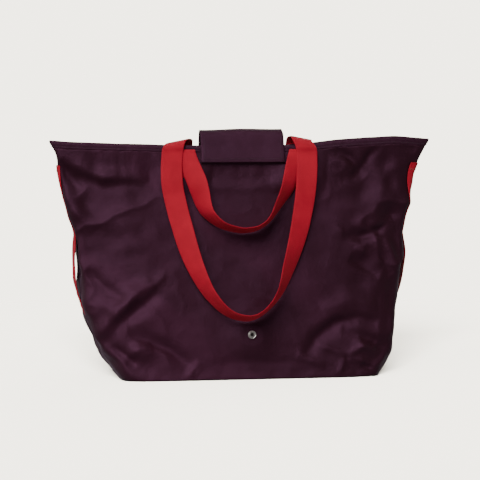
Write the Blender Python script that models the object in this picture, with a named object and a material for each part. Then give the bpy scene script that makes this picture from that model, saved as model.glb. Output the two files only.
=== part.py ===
"""Foldable zip-top tote bag, standing open on its base. Metres, +Z up, front towards -Y.

The bag is a boxed nylon shell: a front and a back panel that meet at the two side seams, a flat base,
a turned hem and a zip along the closed top. Red webbing makes a short handle (sewn to the front),
a long handle (sewn to the back and thrown over the front) and a strap down each side seam.
A fabric flap comes from the back over the top. A press stud low on the front takes the socket in
the flap when the bag is folded up.
"""
import math

import bmesh
import bpy
import numpy as np

for old in list(bpy.data.objects):
    bpy.data.objects.remove(old, do_unlink=True)

# Driving dimensions
BAG_HEIGHT = 0.372
BASE_DEPTH = 0.190
TOP_DEPTH = 0.021
PROFILE_HEIGHTS = [0.0, 0.045, 0.085, 0.125, 0.220, 0.280, 0.372]
PROFILE_HALF_WIDTHS = [0.201, 0.226, 0.245, 0.254, 0.264, 0.281, 0.306]
BASE_SQUARENESS = 7.0
TOP_SQUARENESS = 3.5
FABRIC = 0.0012
GAP = 0.0003
HEM_HEIGHT = 0.0105
HEM_THICKNESS = 0.0024
WEBBING_WIDTH = 0.035
WEBBING_THICKNESS = 0.0018
SIDE_WEBBING_WIDTH = 0.025
HANDLE_SPACING = 0.188
STUB_HEIGHT = 0.038
FLAP_WIDTH = 0.136
FLAP_APEX = 0.396
FLAP_HEM = 0.343
FLAP_LAYER = 0.0009
ZIP_LENGTH = 0.500
STUD_HEIGHT = 0.071
STUD_RADIUS = 0.0066
POCKET_WIDTH = 0.170
POCKET_LOW = 0.170
POCKET_TOP = 0.330
POCKET_HEM = 0.0115

PANEL_TOP = BAG_HEIGHT - HEM_HEIGHT - GAP
PANEL_BOTTOM = FABRIC + GAP
FOLD_HEIGHT = 0.357
STAND_OFF_LOW = 0.270
STAND_OFF_BLEND = 0.080

# Colours (linear)
AUBERGINE = (0.034, 0.011, 0.021)
LINING = (0.028, 0.011, 0.018)
RED = (0.44, 0.016, 0.022)
STEEL = (0.62, 0.61, 0.59)
TEETH = (0.030, 0.012, 0.018)


def material(name, colour, roughness, metallic=0.0):
    mat = bpy.data.materials.new(name)
    mat.use_nodes = True
    shader = mat.node_tree.nodes["Principled BSDF"]
    shader.inputs["Base Color"].default_value = (*colour, 1.0)
    shader.inputs["Roughness"].default_value = roughness
    shader.inputs["Metallic"].default_value = metallic
    mat.diffuse_color = (*colour, 1.0)
    return mat


def add_object(name, mesh, colour, roughness, metallic=0.0, pivot=(0, 0, 0)):
    """Link the mesh as one sub-part whose origin is at the pivot."""
    obj = bpy.data.objects.new(name, mesh)
    bpy.context.collection.objects.link(obj)
    points = bmesh.new()
    points.from_mesh(mesh)
    bmesh.ops.recalc_face_normals(points, faces=points.faces)
    if points.calc_volume(signed=True) < 0:
        bmesh.ops.reverse_faces(points, faces=points.faces)
    bmesh.ops.translate(points, verts=points.verts, vec=[-c for c in pivot])
    points.to_mesh(mesh)
    points.free()
    obj.location = pivot
    mesh.materials.append(material(name + "_material", colour, roughness, metallic))
    bpy.context.view_layer.objects.active = obj
    obj.select_set(True)
    bpy.ops.object.shade_smooth()
    mesh.set_sharp_from_angle(angle=math.radians(35))
    obj.select_set(False)
    return obj


def slab(name, outer, inner, colour, roughness, pivot=(0, 0, 0)):
    """Closed sheet between two grids of points, each shaped rows x columns x 3."""
    rows, columns = outer.shape[:2]
    count = rows * columns
    points = np.concatenate([outer.reshape(-1, 3), inner.reshape(-1, 3)])
    faces = []
    for r in range(rows - 1):
        for c in range(columns - 1):
            a = r * columns + c
            quad = [a, a + 1, a + columns + 1, a + columns]
            faces.append(quad)
            faces.append([i + count for i in reversed(quad)])
    rim = [(0, c) for c in range(columns)]
    rim += [(r, columns - 1) for r in range(1, rows)]
    rim += [(rows - 1, c) for c in range(columns - 2, -1, -1)]
    rim += [(r, 0) for r in range(rows - 2, 0, -1)]
    edge = [r * columns + c for r, c in rim]
    for a, b in zip(edge, edge[1:] + edge[:1]):
        faces.append([b, a, a + count, b + count])
    mesh = bpy.data.meshes.new(name)
    mesh.from_pydata(points.tolist(), [], faces)
    return add_object(name, mesh, colour, roughness, pivot=pivot)


def band(name, loops, colour, roughness):
    """Closed ring made of four loops of points: outer low, outer high, inner high, inner low."""
    count = len(loops[0])
    faces = []
    for k in range(4):
        for i in range(count):
            j = (i + 1) % count
            n = (k + 1) % 4
            faces.append([k * count + i, k * count + j, n * count + j, n * count + i])
    mesh = bpy.data.meshes.new(name)
    mesh.from_pydata(np.concatenate(loops).tolist(), [], faces)
    return add_object(name, mesh, colour, roughness)


def prism(name, outline, z0, z1, colour, roughness, metallic=0.0, pivot=(0, 0, 0)):
    """Flat outline (x, y) raised from z0 to z1."""
    count = len(outline)
    points = [(x, y, z0) for x, y in outline] + [(x, y, z1) for x, y in outline]
    faces = [list(range(count))[::-1], list(range(count, 2 * count))]
    for i in range(count):
        j = (i + 1) % count
        faces.append([i, j, j + count, i + count])
    mesh = bpy.data.meshes.new(name)
    mesh.from_pydata(points, [], faces)
    return add_object(name, mesh, colour, roughness, metallic, pivot)


def turned(name, profile, centre, axis, colour, roughness, metallic, sides=20):
    """Body of revolution: profile of (radius, distance) along the axis, closed on the axis or as a ring."""
    axis = np.array(axis, float) / np.linalg.norm(axis)
    across = np.cross(axis, [1.0, 0.0, 0.0])
    across /= np.linalg.norm(across)
    third = np.cross(axis, across)
    points = []
    rings = []
    for radius, along in profile:
        ring = []
        turns = sides if radius > 0 else 1
        for i in range(turns):
            angle = 2 * math.pi * i / sides
            side = (math.cos(angle) * across + math.sin(angle) * third) * radius
            ring.append(len(points))
            points.append(np.array(centre) + axis * along + side)
        rings.append(ring)
    faces = []
    pairs = list(zip(rings, rings[1:]))
    if profile[0][0] > 0 and profile[-1][0] > 0:
        pairs.append((rings[-1], rings[0]))
    for low, high in pairs:
        for i in range(sides):
            j = (i + 1) % sides
            corners = [low[i % len(low)], low[j % len(low)], high[j % len(high)], high[i % len(high)]]
            faces.append(list(dict.fromkeys(corners)))
    mesh = bpy.data.meshes.new(name)
    mesh.from_pydata([p.tolist() for p in points], [], faces)
    return add_object(name, mesh, colour, roughness, metallic)


# The shell's shape: a squared oval at every height, deep at the base and pinched flat at the top
def half_width(z):
    return float(np.interp(z, PROFILE_HEIGHTS, PROFILE_HALF_WIDTHS))


def half_depth(z):
    t = min(max(z / BAG_HEIGHT, 0.0), 1.0)
    return TOP_DEPTH / 2 + (BASE_DEPTH - TOP_DEPTH) / 2 * (1 - t ** 1.2)


def squareness(z):
    t = min(max(z / BAG_HEIGHT, 0.0), 1.0)
    return BASE_SQUARENESS + (TOP_SQUARENESS - BASE_SQUARENESS) * t


def face_depth(x, z):
    """How far the shell's face is from the middle plane at this x and height."""
    n = squareness(z)
    ratio = min(abs(x) / half_width(z), 1.0)
    return half_depth(z) * (1 - ratio ** n) ** (1 / n)


def section(z, inset=0.0):
    """Dense closed section at a height, moved inwards by the inset, with the distance along it."""
    n = squareness(z)
    angles = np.linspace(math.pi, 3 * math.pi, 1441)
    cosine = np.cos(angles)
    sine = np.sin(angles)
    x = half_width(z) * np.sign(cosine) * np.abs(cosine) ** (2 / n)
    y = half_depth(z) * np.sign(sine) * np.abs(sine) ** (2 / n)
    grade_x = np.sign(x) * np.abs(x / half_width(z)) ** (n - 1) / half_width(z)
    grade_y = np.sign(y) * np.abs(y / half_depth(z)) ** (n - 1) / half_depth(z)
    length = np.hypot(grade_x, grade_y)
    x = x - grade_x / length * inset
    y = y - grade_y / length * inset
    along = np.concatenate([[0], np.cumsum(np.hypot(np.diff(x), np.diff(y)))])
    return x, y, along


def along_section(z, fractions, inset=0.0):
    """Points at fractions (0 to 1) of the way round the section, from the left seam by the front."""
    x, y, along = section(z)
    xi, yi = section(z, inset)[:2]
    at = np.array(fractions) * along[-1]
    return np.stack([np.interp(at, along, xi), np.interp(at, along, yi), np.full(len(at), z)], axis=1)


def panel(name, first, last, side):
    """Front or back panel: half the shell, from one side seam to the other."""
    heights = np.unique(np.round([PANEL_BOTTOM, 0.012, 0.028, *PROFILE_HEIGHTS[1:-1], 0.172, 0.318,
                                  PANEL_TOP], 5))
    outer = []
    inner = []
    seam = GAP / 2
    for z in heights:
        total = section(z)[2][-1]
        fractions = np.linspace(first + seam / total, last - seam / total, 33)
        outer.append(along_section(z, fractions))
        inner.append(along_section(z, fractions, FABRIC))
    outer = np.array(outer)
    inner = np.array(inner)
    limit = -side * seam
    for grid in (outer, inner):
        grid[:, :, 1] = np.minimum(grid[:, :, 1], limit) if side > 0 else np.maximum(grid[:, :, 1], limit)
    return slab(name, outer, inner, AUBERGINE, 0.55)


def on_face(x, z, side, offset):
    """Point on the front (side 1) or back (side -1) face, moved outwards by the offset."""
    return np.array([x, -side * (face_depth(x, z) + offset), z])


def patch(name, x0, x1, z0, z1, side, offset, thickness, colour, roughness, columns=4, rows=4):
    """Flat piece that follows the face between two offsets."""
    outer = []
    inner = []
    for z in np.linspace(z0, z1, rows):
        outer.append([on_face(x, z, side, offset + thickness) for x in np.linspace(x0, x1, columns)])
        inner.append([on_face(x, z, side, offset) for x in np.linspace(x0, x1, columns)])
    return slab(name, np.array(outer), np.array(inner), colour, roughness)


def smooth_path(points, count):
    """Rounded path through a few points, evenly spaced."""
    points = np.array(points, float)
    ends = np.concatenate([[2 * points[0] - points[1]], points, [2 * points[-1] - points[-2]]])
    fine = []
    for a, b, c, d in zip(ends, ends[1:], ends[2:], ends[3:]):
        for t in np.linspace(0, 1, 12, endpoint=False):
            fine.append(0.5 * (2 * b + (c - a) * t + (2 * a - 5 * b + 4 * c - d) * t * t
                               + (3 * b - a - 3 * c + d) * t ** 3))
    fine = np.array(fine + [points[-1]])
    along = np.concatenate([[0], np.cumsum(np.linalg.norm(np.diff(fine, axis=0), axis=1))])
    at = np.linspace(0, along[-1], count)
    return np.stack([np.interp(at, along, fine[:, k]) for k in range(fine.shape[1])], axis=1)


def ribbon(name, centres, across, width, thickness, colour, pivot=(0, 0, 0)):
    """Webbing along a centreline; across gives the direction of its width at each station."""
    centres = np.array(centres, float)
    across = np.array(across, float)
    across /= np.linalg.norm(across, axis=1)[:, None]
    tangent = np.gradient(centres, axis=0)
    normal = np.cross(tangent, across)
    normal /= np.linalg.norm(normal, axis=1)[:, None]
    edges = np.stack([centres - across * width / 2, centres + across * width / 2], axis=1)
    lift = normal[:, None] * thickness / 2
    return slab(name, edges + lift, edges - lift, colour, 0.7, pivot)


# Base: the flat bottom panel that the bag stands on
base_outline = along_section(0.0, np.linspace(0, 1, 65)[:-1])
prism("base_panel", base_outline[:, :2].tolist(), 0.0, FABRIC, AUBERGINE, 0.6)

# Front and back panels
panel("front_panel", 0.0, 0.5, 1)
panel("back_panel", 0.5, 1.0, -1)


def hem(name, first, last, side):
    """Turned hem: a thick strip that finishes the panel's top edge."""
    total = section(BAG_HEIGHT)[2][-1]
    fractions = np.linspace(first + 0.0004 / total, last - 0.0004 / total, 41)
    outer = []
    inner = []
    for z in (BAG_HEIGHT - HEM_HEIGHT, BAG_HEIGHT):
        outer.append(along_section(z, fractions))
        inner.append(along_section(z, fractions, HEM_THICKNESS))
    outer = np.array(outer)
    inner = np.array(inner)
    limit = GAP / 2
    for grid in (outer, inner):
        grid[:, :, 1] = -side * np.maximum(-side * grid[:, :, 1], limit)
    return slab(name, outer, inner, AUBERGINE, 0.5)


hem("front_top_hem", 0.0, 0.5, 1)
hem("back_top_hem", 0.5, 1.0, -1)

# Binding tape on the raw edges inside: round the base seam and down each side seam
BASE_TAPE_INSET = FABRIC + 0.0009
round_base = np.linspace(0, 1, 65)[:-1]
base_tape = []
for height, inset in ((PANEL_BOTTOM, BASE_TAPE_INSET), (0.012, BASE_TAPE_INSET), (0.012, 0.0030),
                      (PANEL_BOTTOM, 0.0030)):
    base_tape.append(along_section(height, round_base, inset))
band("base_seam_tape", base_tape, LINING, 0.7)

for side_name, side in (("left", -1), ("right", 1)):
    seam_heights = [0.014, 0.045, 0.085, 0.125, 0.220, 0.275]
    outer = []
    inner = []
    for z in seam_heights:
        edge = side * (half_width(z) - FABRIC - 0.0012)
        outer.append([[edge, -0.005, z], [edge, 0.005, z]])
        inner.append([[edge - side * 0.0008, -0.005, z], [edge - side * 0.0008, 0.005, z]])
    slab(f"{side_name}_seam_tape", np.array(outer), np.array(inner), LINING, 0.7)

# Zip along the closed top: two tapes, two rows of coil, end tabs, slider and puller
CHAIN_INNER = 0.0005
CHAIN_OUTER = 0.0023
CHAIN_Z = 0.3665
TAPE_THICKNESS = 0.0008
for row_name, side in (("front", 1), ("back", -1)):
    stations = np.linspace(-ZIP_LENGTH / 2, ZIP_LENGTH / 2, 21)
    reach = [face_depth(x, CHAIN_Z) - HEM_THICKNESS - 0.0008 for x in stations]
    outline = [(x, -side * y) for x, y in zip(stations, reach)]
    outline += [(x, -side * (CHAIN_OUTER + GAP)) for x in stations[::-1]]
    prism(f"zip_tape_{row_name}", outline, CHAIN_Z - TAPE_THICKNESS / 2, CHAIN_Z + TAPE_THICKNESS / 2,
          AUBERGINE, 0.7)
    chain_start = -ZIP_LENGTH / 2 + 0.004
    chain_end = ZIP_LENGTH / 2 - 0.016
    coil = [(chain_start, -side * CHAIN_INNER), (chain_end, -side * CHAIN_INNER),
            (chain_end, -side * CHAIN_OUTER), (chain_start, -side * CHAIN_OUTER)]
    prism(f"zip_coil_{row_name}", coil, CHAIN_Z - 0.0011, CHAIN_Z + 0.0011, TEETH, 0.45)

for end_name, side in (("left", -1), ("right", 1)):
    near = side * (ZIP_LENGTH / 2 + GAP)
    far = side * (ZIP_LENGTH / 2 + 0.020)
    tab = [(near, -0.0035), (far, -0.0035), (far, 0.0035), (near, 0.0035)]
    prism(f"zip_tab_{end_name}", tab, CHAIN_Z - 0.0012, CHAIN_Z + 0.0012, AUBERGINE, 0.6)

SLIDER_X = ZIP_LENGTH / 2 - 0.010
SLIDER_LENGTH = 0.010
PLATE = 0.0010
slider_low = CHAIN_Z - 0.0011 - GAP - PLATE
slider_high = CHAIN_Z + 0.0011 + GAP + PLATE
slider_section = [(-0.0035, slider_low), (0.0035, slider_low), (0.0035, slider_low + PLATE),
                  (0.0002, slider_low + PLATE), (0.0002, slider_high - PLATE), (0.0035, slider_high - PLATE),
                  (0.0035, slider_high), (-0.0035, slider_high), (-0.0035, slider_high - PLATE),
                  (-0.0002, slider_high - PLATE), (-0.0002, slider_low + PLATE), (-0.0035, slider_low + PLATE)]
corner_count = len(slider_section)
slider_points = [(SLIDER_X - SLIDER_LENGTH / 2, y, z) for y, z in slider_section]
slider_points += [(SLIDER_X + SLIDER_LENGTH / 2, y, z) for y, z in slider_section]
slider_faces = [list(range(corner_count)), list(range(2 * corner_count - 1, corner_count - 1, -1))]
for i in range(corner_count):
    j = (i + 1) % corner_count
    slider_faces.append([i, i + corner_count, j + corner_count, j])
slider_mesh = bpy.data.meshes.new("zip_slider")
slider_mesh.from_pydata(slider_points, [], slider_faces)
add_object("zip_slider", slider_mesh, STEEL, 0.3, 1.0, (SLIDER_X, 0.0, CHAIN_Z))

PULL_X = SLIDER_X - 0.003
PULL_Z = slider_high + 0.0012
pull_outline = [(PULL_X - 0.0010, -0.0020), (PULL_X + 0.0180, -0.0030), (PULL_X + 0.0210, -0.0018),
                (PULL_X + 0.0210, 0.0018), (PULL_X + 0.0180, 0.0030), (PULL_X - 0.0010, 0.0020)]
prism("zip_puller", pull_outline, PULL_Z - 0.0007, PULL_Z + 0.0007, STEEL, 0.3, 1.0,
      (PULL_X, 0.0, PULL_Z))

# Handle ends: webbing sewn flat to each panel below the hem, with a patch behind it inside
for face_name, side in (("front", 1), ("back", -1)):
    for end_name, hand in (("left", -1), ("right", 1)):
        middle = hand * HANDLE_SPACING / 2
        low = FOLD_HEIGHT - STUB_HEIGHT
        x0 = middle - WEBBING_WIDTH / 2
        x1 = middle + WEBBING_WIDTH / 2
        patch(f"{face_name}_handle_patch_{end_name}", x0 - 0.003, x1 + 0.003, low - 0.004, FOLD_HEIGHT - 0.001,
              side, -FABRIC - GAP - 0.0011, 0.0010, LINING, 0.7, 4, 3)
        if side == 1:
            patch(f"front_handle_end_{end_name}", x0, x1, low, FOLD_HEIGHT, 1, GAP, WEBBING_THICKNESS,
                  RED, 0.7, 4, 3)

# Long handle: its sewn ends climb the back and go over the top, as far as the fold where the loop turns
ARCH_RISE = 0.0065
LONG_FOLD_X = 0.128
LONG_FOLD_Y = -0.0278
LONG_FOLD_Z = 0.3690
for end_name, hand in (("left", -1), ("right", 1)):
    middle = hand * HANDLE_SPACING / 2
    back = [on_face(middle, z, -1, GAP + WEBBING_THICKNESS / 2) for z in
            np.linspace(FOLD_HEIGHT - STUB_HEIGHT, FOLD_HEIGHT + 0.006, 4)]
    top_y = TOP_DEPTH / 2 + 0.0016
    climb = [(middle, top_y, BAG_HEIGHT - 0.002), (middle, top_y - 0.0012, BAG_HEIGHT + 0.003),
             (middle + hand * 0.001, top_y - 0.0055, BAG_HEIGHT + ARCH_RISE),
             (middle + hand * 0.005, 0.0, BAG_HEIGHT + ARCH_RISE + 0.001),
             (middle + hand * 0.014, -0.0095, BAG_HEIGHT + ARCH_RISE),
             (middle + hand * 0.024, -0.0190, BAG_HEIGHT + 0.0040),
             (hand * (LONG_FOLD_X - 0.001), LONG_FOLD_Y + 0.0013, LONG_FOLD_Z + 0.0009)]
    path = np.concatenate([back, climb])
    ribbon(f"back_handle_end_{end_name}", path, np.tile([1.0, 0.0, 0.0], (len(path), 1)), WEBBING_WIDTH,
           WEBBING_THICKNESS, RED)

LOOP_STATIONS = 15
LOOP_TURN = 84


def hanging_loop(name, start, keys, offset, stand_off, pivot):
    """Webbing loop that hangs in front, its legs turning edge-on towards the bottom of the loop.

    start gives the left leg's first points; keys are (half spread, height) down to the lowest point.
    The legs lie at the offset from the face, plus the stand-off near the top of the bag.
    """
    leg = smooth_path([(-x, z) for x, z in keys], LOOP_STATIONS)
    turn = np.linspace(0, 1, len(leg)) ** 1.15 * math.radians(LOOP_TURN)
    centres = [np.array(p) for p in start]
    across = [np.array([1.0, 0.0, 0.0])] * len(start)
    for (x, z), angle in zip(leg, turn):
        # the strip turns edge-on about its inner edge, so its middle moves forward
        forward = WEBBING_WIDTH / 2 * math.sin(angle)
        near_top = min(max((z - STAND_OFF_LOW) / STAND_OFF_BLEND, 0.0), 1.0)
        centres.append(on_face(x, z, 1, offset + stand_off * near_top + forward))
        across.append(np.array([math.cos(angle), -math.sin(angle), 0.12 * math.sin(angle)]))
    mirror = np.array([-1, 1, 1])
    centres += [c * mirror for c in centres[-2::-1]]
    across += [a * mirror for a in across[-2::-1]]
    return ribbon(name, centres, across, WEBBING_WIDTH, WEBBING_THICKNESS, RED, pivot)


# Short front handle: hangs from the fold over its sewn ends, and turns on that fold
handle_x = HANDLE_SPACING / 2
fold_y = -(face_depth(handle_x, FOLD_HEIGHT) + 2 * GAP + 1.5 * WEBBING_THICKNESS)
fold_start = [(-handle_x, fold_y, FOLD_HEIGHT)]
SHORT_KEYS = [(0.0932, 0.354), (0.0870, 0.341), (0.079, 0.322), (0.0705, 0.301), (0.0615, 0.279),
              (0.050, 0.259), (0.030, 0.2455), (0.0, 0.239)]
hanging_loop("front_handle", fold_start, SHORT_KEYS, 0.0036, 0.0, (0.0, fold_y, FOLD_HEIGHT))

# Long back handle: hangs down the front from its fold, outside the short handle's legs
long_start = [(-LONG_FOLD_X, LONG_FOLD_Y, LONG_FOLD_Z), (-LONG_FOLD_X - 0.0005, LONG_FOLD_Y - 0.0012, 0.363)]
LONG_KEYS = [(0.129, 0.357), (0.1285, 0.335), (0.122, 0.306), (0.109, 0.274), (0.0985, 0.247), (0.090, 0.216),
             (0.080, 0.184), (0.067, 0.152), (0.052, 0.129), (0.034, 0.110), (0.0, 0.099)]
hanging_loop("back_handle", long_start, LONG_KEYS, 0.0068, 0.0095, (0.0, LONG_FOLD_Y, LONG_FOLD_Z))

# Side straps: webbing over each side seam, flat above, standing off as a loop below the bar tack
STRAP_TOP = 0.334
STRAP_TACK = 0.228
STRAP_LOW = 0.084
STRAP_STANDOFF = 0.0115
for side_name, side in (("left", -1), ("right", 1)):
    outer = []
    inner = []
    strap_heights = np.unique(np.round(np.concatenate([np.linspace(STRAP_LOW - 0.012, STRAP_LOW, 3),
                                                       np.linspace(STRAP_LOW, STRAP_TACK, 13),
                                                       np.linspace(STRAP_TACK, STRAP_TOP, 6)]), 5))
    for z in strap_heights:
        stand = 0.0
        if STRAP_LOW < z < STRAP_TACK:
            stand = STRAP_STANDOFF * math.sin(math.pi * (z - STRAP_LOW) / (STRAP_TACK - STRAP_LOW)) ** 0.6
        total = section(z)[2][-1]
        turns = np.linspace(-SIDE_WEBBING_WIDTH / 2, SIDE_WEBBING_WIDTH / 2, 5) / total
        fractions = (turns if side < 0 else turns + 0.5) % 1.0
        rows = []
        for inset in (-GAP - WEBBING_THICKNESS, -GAP):
            points = along_section(z, fractions, inset)
            points[:, 0] += side * stand
            rows.append(points)
        outer.append(rows[0])
        inner.append(rows[1])
    slab(f"{side_name}_side_strap", np.array(outer), np.array(inner), RED, 0.7)

# Flap: sewn to the back panel, standing over the top, two layers with a hidden socket at the front
FLAP_AXIS_Y = -0.0111
FLAP_AXIS_Z = FLAP_APEX - 0.0091
flap_half = FLAP_WIDTH / 2


def flap_sheet(name, path, thickness, offset, widths, pivot):
    """Flap layer along a (y, z) path, shifted to one side of it by the offset."""
    path = np.array(path, float)
    tangent = np.gradient(path, axis=0)
    normal = np.stack([-tangent[:, 1], tangent[:, 0]], axis=1)
    normal /= np.linalg.norm(normal, axis=1)[:, None]
    grids = []
    for shift in (offset + thickness, offset):
        moved = path + normal * shift
        grids.append(np.array([[[x, y, z] for x in np.linspace(-w, w, 5)] for (y, z), w in zip(moved, widths)]))
    return slab(name, grids[0], grids[1], AUBERGINE, 0.5, pivot)


back_seam = [(face_depth(0, z) + 2 * GAP, z) for z in (0.332, 0.345, 0.358, 0.366, 0.372)]
back_rise = [(TOP_DEPTH / 2, 0.381), (0.0078, 0.390), (0.0040, FLAP_APEX - 0.0012), (0.0, FLAP_APEX),
             (-0.0045, FLAP_APEX - 0.0012), (-0.0086, 0.3895)]
flap_back_path = np.array(back_seam + back_rise)[::-1]
back_widths = np.linspace(flap_half - 0.001, flap_half, len(flap_back_path))
flap_sheet("flap_back", flap_back_path, 2 * FLAP_LAYER, 0.0, back_widths, (0, 0, 0))
flap_front_path = [(-0.0102, 0.3865), (-0.0120, 0.380), (-0.0152, 0.368), (-0.0195, 0.356), (-0.0235, FLAP_HEM)]
flap_front_path = np.array(flap_front_path)[::-1]
front_widths = np.linspace(flap_half + 0.001, flap_half - 0.001, len(flap_front_path))
flap_pivot = (0.0, FLAP_AXIS_Y, FLAP_AXIS_Z)
flap_sheet("flap_outer", flap_front_path, FLAP_LAYER, -0.0001 + FLAP_LAYER + 0.0004, front_widths, flap_pivot)
flap_sheet("flap_lining", flap_front_path, FLAP_LAYER, -0.0001, front_widths, flap_pivot)

# Press stud low on the front: flange and hollow post outside, rivet and patch inside
stud_y = -face_depth(0, STUD_HEIGHT)
slope = (face_depth(0, STUD_HEIGHT + 0.005) - face_depth(0, STUD_HEIGHT - 0.005)) / 0.010
stud_axis = np.array([0.0, -1.0, -slope]) / math.hypot(1.0, slope)
stud_centre = np.array([0.0, stud_y, STUD_HEIGHT])
patch("stud_patch", -0.013, 0.013, STUD_HEIGHT - 0.013, STUD_HEIGHT + 0.013, 1, -FABRIC - GAP - 0.0010, 0.0010,
      LINING, 0.7, 3, 3)
turned("snap_stud", [(0.0016, -0.0030), (STUD_RADIUS - 0.0046, 0.0004), (STUD_RADIUS, 0.0004),
                     (STUD_RADIUS, 0.0009), (0.0042, 0.0014), (0.0036, 0.0036), (0.0026, 0.0036),
                     (0.0021, 0.0010), (0.0009, 0.0010), (0.0009, -0.0030)],
       stud_centre, stud_axis, STEEL, 0.25, 1.0)
turned("snap_stud_rivet", [(0.0022, -0.0030), (0.0050, -0.0030), (0.0050, -0.0038), (0.0022, -0.0038)],
       stud_centre, stud_axis, STEEL, 0.3, 1.0)
for holed in ("front_panel", "stud_patch"):
    cutter = turned(f"{holed}_hole_cutter", [(0.0, -0.006), (0.0024, -0.006), (0.0024, 0.006), (0.0, 0.006)],
                    stud_centre, stud_axis, STEEL, 0.5, 0.0, 12)
    cut = bpy.data.objects[holed].modifiers.new("stud_hole", "BOOLEAN")
    cut.operation = "DIFFERENCE"
    cut.solver = "EXACT"
    cut.object = cutter
    cutter.hide_render = True
    cutter.display_type = "WIRE"

# Socket of the press stud, set in the flap lining near its lower edge, opening towards the bag
socket_z = FLAP_HEM + 0.0125
socket_y = -0.0196
socket_axis = (0.0, 1.0, -0.307)
turned("flap_socket", [(0.0040, 0.0005), (0.0058, 0.0005), (0.0058, 0.0015), (0.0040, 0.0015)],
       (0.0, socket_y, socket_z), socket_axis, STEEL, 0.3, 1.0)

# Slip pocket inside, hung on the back panel
POCKET_OFFSET = -FABRIC - GAP - 0.0040
pocket_edge = POCKET_TOP - POCKET_HEM
patch("inner_pocket", -POCKET_WIDTH / 2, POCKET_WIDTH / 2, POCKET_LOW, pocket_edge - 0.0005, -1,
      POCKET_OFFSET, 0.0009, LINING, 0.6, 7, 7)
patch("inner_pocket_hem", -POCKET_WIDTH / 2, POCKET_WIDTH / 2, pocket_edge, POCKET_TOP, -1,
      POCKET_OFFSET, 0.0020, LINING, 0.6, 7, 2)
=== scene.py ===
"""The foldable tote bag as it looks: satin nylon shell, red webbing, zip, flap and press stud."""
import math

import bmesh
import bpy
import numpy as np
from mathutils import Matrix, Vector


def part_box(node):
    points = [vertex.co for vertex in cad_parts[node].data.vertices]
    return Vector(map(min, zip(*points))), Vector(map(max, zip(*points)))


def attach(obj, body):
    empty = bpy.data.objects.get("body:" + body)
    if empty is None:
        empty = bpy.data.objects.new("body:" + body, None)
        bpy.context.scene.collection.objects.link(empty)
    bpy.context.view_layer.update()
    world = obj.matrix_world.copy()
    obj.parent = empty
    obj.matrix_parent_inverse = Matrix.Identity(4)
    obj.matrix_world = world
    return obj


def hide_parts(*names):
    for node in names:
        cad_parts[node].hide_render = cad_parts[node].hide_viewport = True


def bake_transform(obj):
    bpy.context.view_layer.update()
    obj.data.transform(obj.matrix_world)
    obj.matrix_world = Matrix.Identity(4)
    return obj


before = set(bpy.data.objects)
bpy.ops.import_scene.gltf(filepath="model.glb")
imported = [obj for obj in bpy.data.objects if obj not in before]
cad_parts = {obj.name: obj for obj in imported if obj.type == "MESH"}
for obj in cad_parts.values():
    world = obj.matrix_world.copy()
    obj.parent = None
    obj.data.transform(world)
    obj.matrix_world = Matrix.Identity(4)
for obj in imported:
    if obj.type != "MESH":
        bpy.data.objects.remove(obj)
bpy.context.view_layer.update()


# ---------------------------------------------------------------------------------------------
# Nylon cloth. The shell is a thin, tightly woven nylon with a satin face, dyed dark aubergine.
# It is limp and proofed, so it creases softly and shows a broad, dull gleam where it turns.
# ---------------------------------------------------------------------------------------------
class Field:
    """A socket of a shader tree that takes part in sums as a number would."""

    def __init__(self, tree, socket):
        self.tree = tree
        self.socket = socket

    def node(self, kind, inputs=(), output=0, **settings):
        made = self.tree.nodes.new(kind)
        for key, value in settings.items():
            setattr(made, key, value)
        for key, value in dict(inputs).items():
            if isinstance(value, Field):
                self.tree.links.new(value.socket, made.inputs[key])
            else:
                made.inputs[key].default_value = value
        return Field(self.tree, made.outputs[output])

    def math(self, operation, first, second=0.0, third=0.0):
        return self.node("ShaderNodeMath", {0: first, 1: second, 2: third}, operation=operation)

    def __add__(self, other):
        return self.math("ADD", self, other)

    def __radd__(self, other):
        return self.math("ADD", other, self)

    def __sub__(self, other):
        return self.math("SUBTRACT", self, other)

    def __rsub__(self, other):
        return self.math("SUBTRACT", other, self)

    def __mul__(self, other):
        return self.math("MULTIPLY", self, other)

    def __rmul__(self, other):
        return self.math("MULTIPLY", other, self)

    def __truediv__(self, other):
        return self.math("DIVIDE", self, other)

    def apply(self, operation, second=0.0, third=0.0):
        return self.math(operation, self, second, third)

    def part(self, name):
        return self.node("ShaderNodeSeparateXYZ", {0: self}, output=name)

    def noise(self, scale, detail=2.0, roughness=0.5):
        return self.node("ShaderNodeTexNoise", {"Vector": self, "Scale": scale, "Detail": detail,
                                                "Roughness": roughness})

    def ramp(self, low, high):
        """This field taken from low..high to 0..1 with soft ends."""
        return self.node("ShaderNodeMapRange", {"Value": self, "From Min": low, "From Max": high},
                         interpolation_type="SMOOTHSTEP")

    def mix(self, first, second):
        """Colour between first (at 0) and second (at 1)."""
        return self.node("ShaderNodeMix", {0: self, 6: first, 7: second}, output=2, data_type="RGBA")

    def bump(self, distance, strength=1.0, below=None):
        inputs = {"Height": self, "Distance": distance, "Strength": strength}
        if below is not None:
            inputs["Normal"] = below
        return self.node("ShaderNodeBump", inputs)


def new_material(name, **constants):
    """Principled material with its constant sockets set; returns it, its shader and its coordinates."""
    mat = bpy.data.materials.new(name)
    mat.use_nodes = True
    tree = mat.node_tree
    shader = tree.nodes["Principled BSDF"]
    for key, value in constants.items():
        shader.inputs[key.replace("_", " ")].default_value = value
    coordinates = tree.nodes.new("ShaderNodeTexCoord")
    return mat, shader, Field(tree, coordinates.outputs["Object"]), Field(tree, coordinates.outputs["UV"])


def wire(shader, name, field):
    field.tree.links.new(field.socket, shader.inputs[name])


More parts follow.
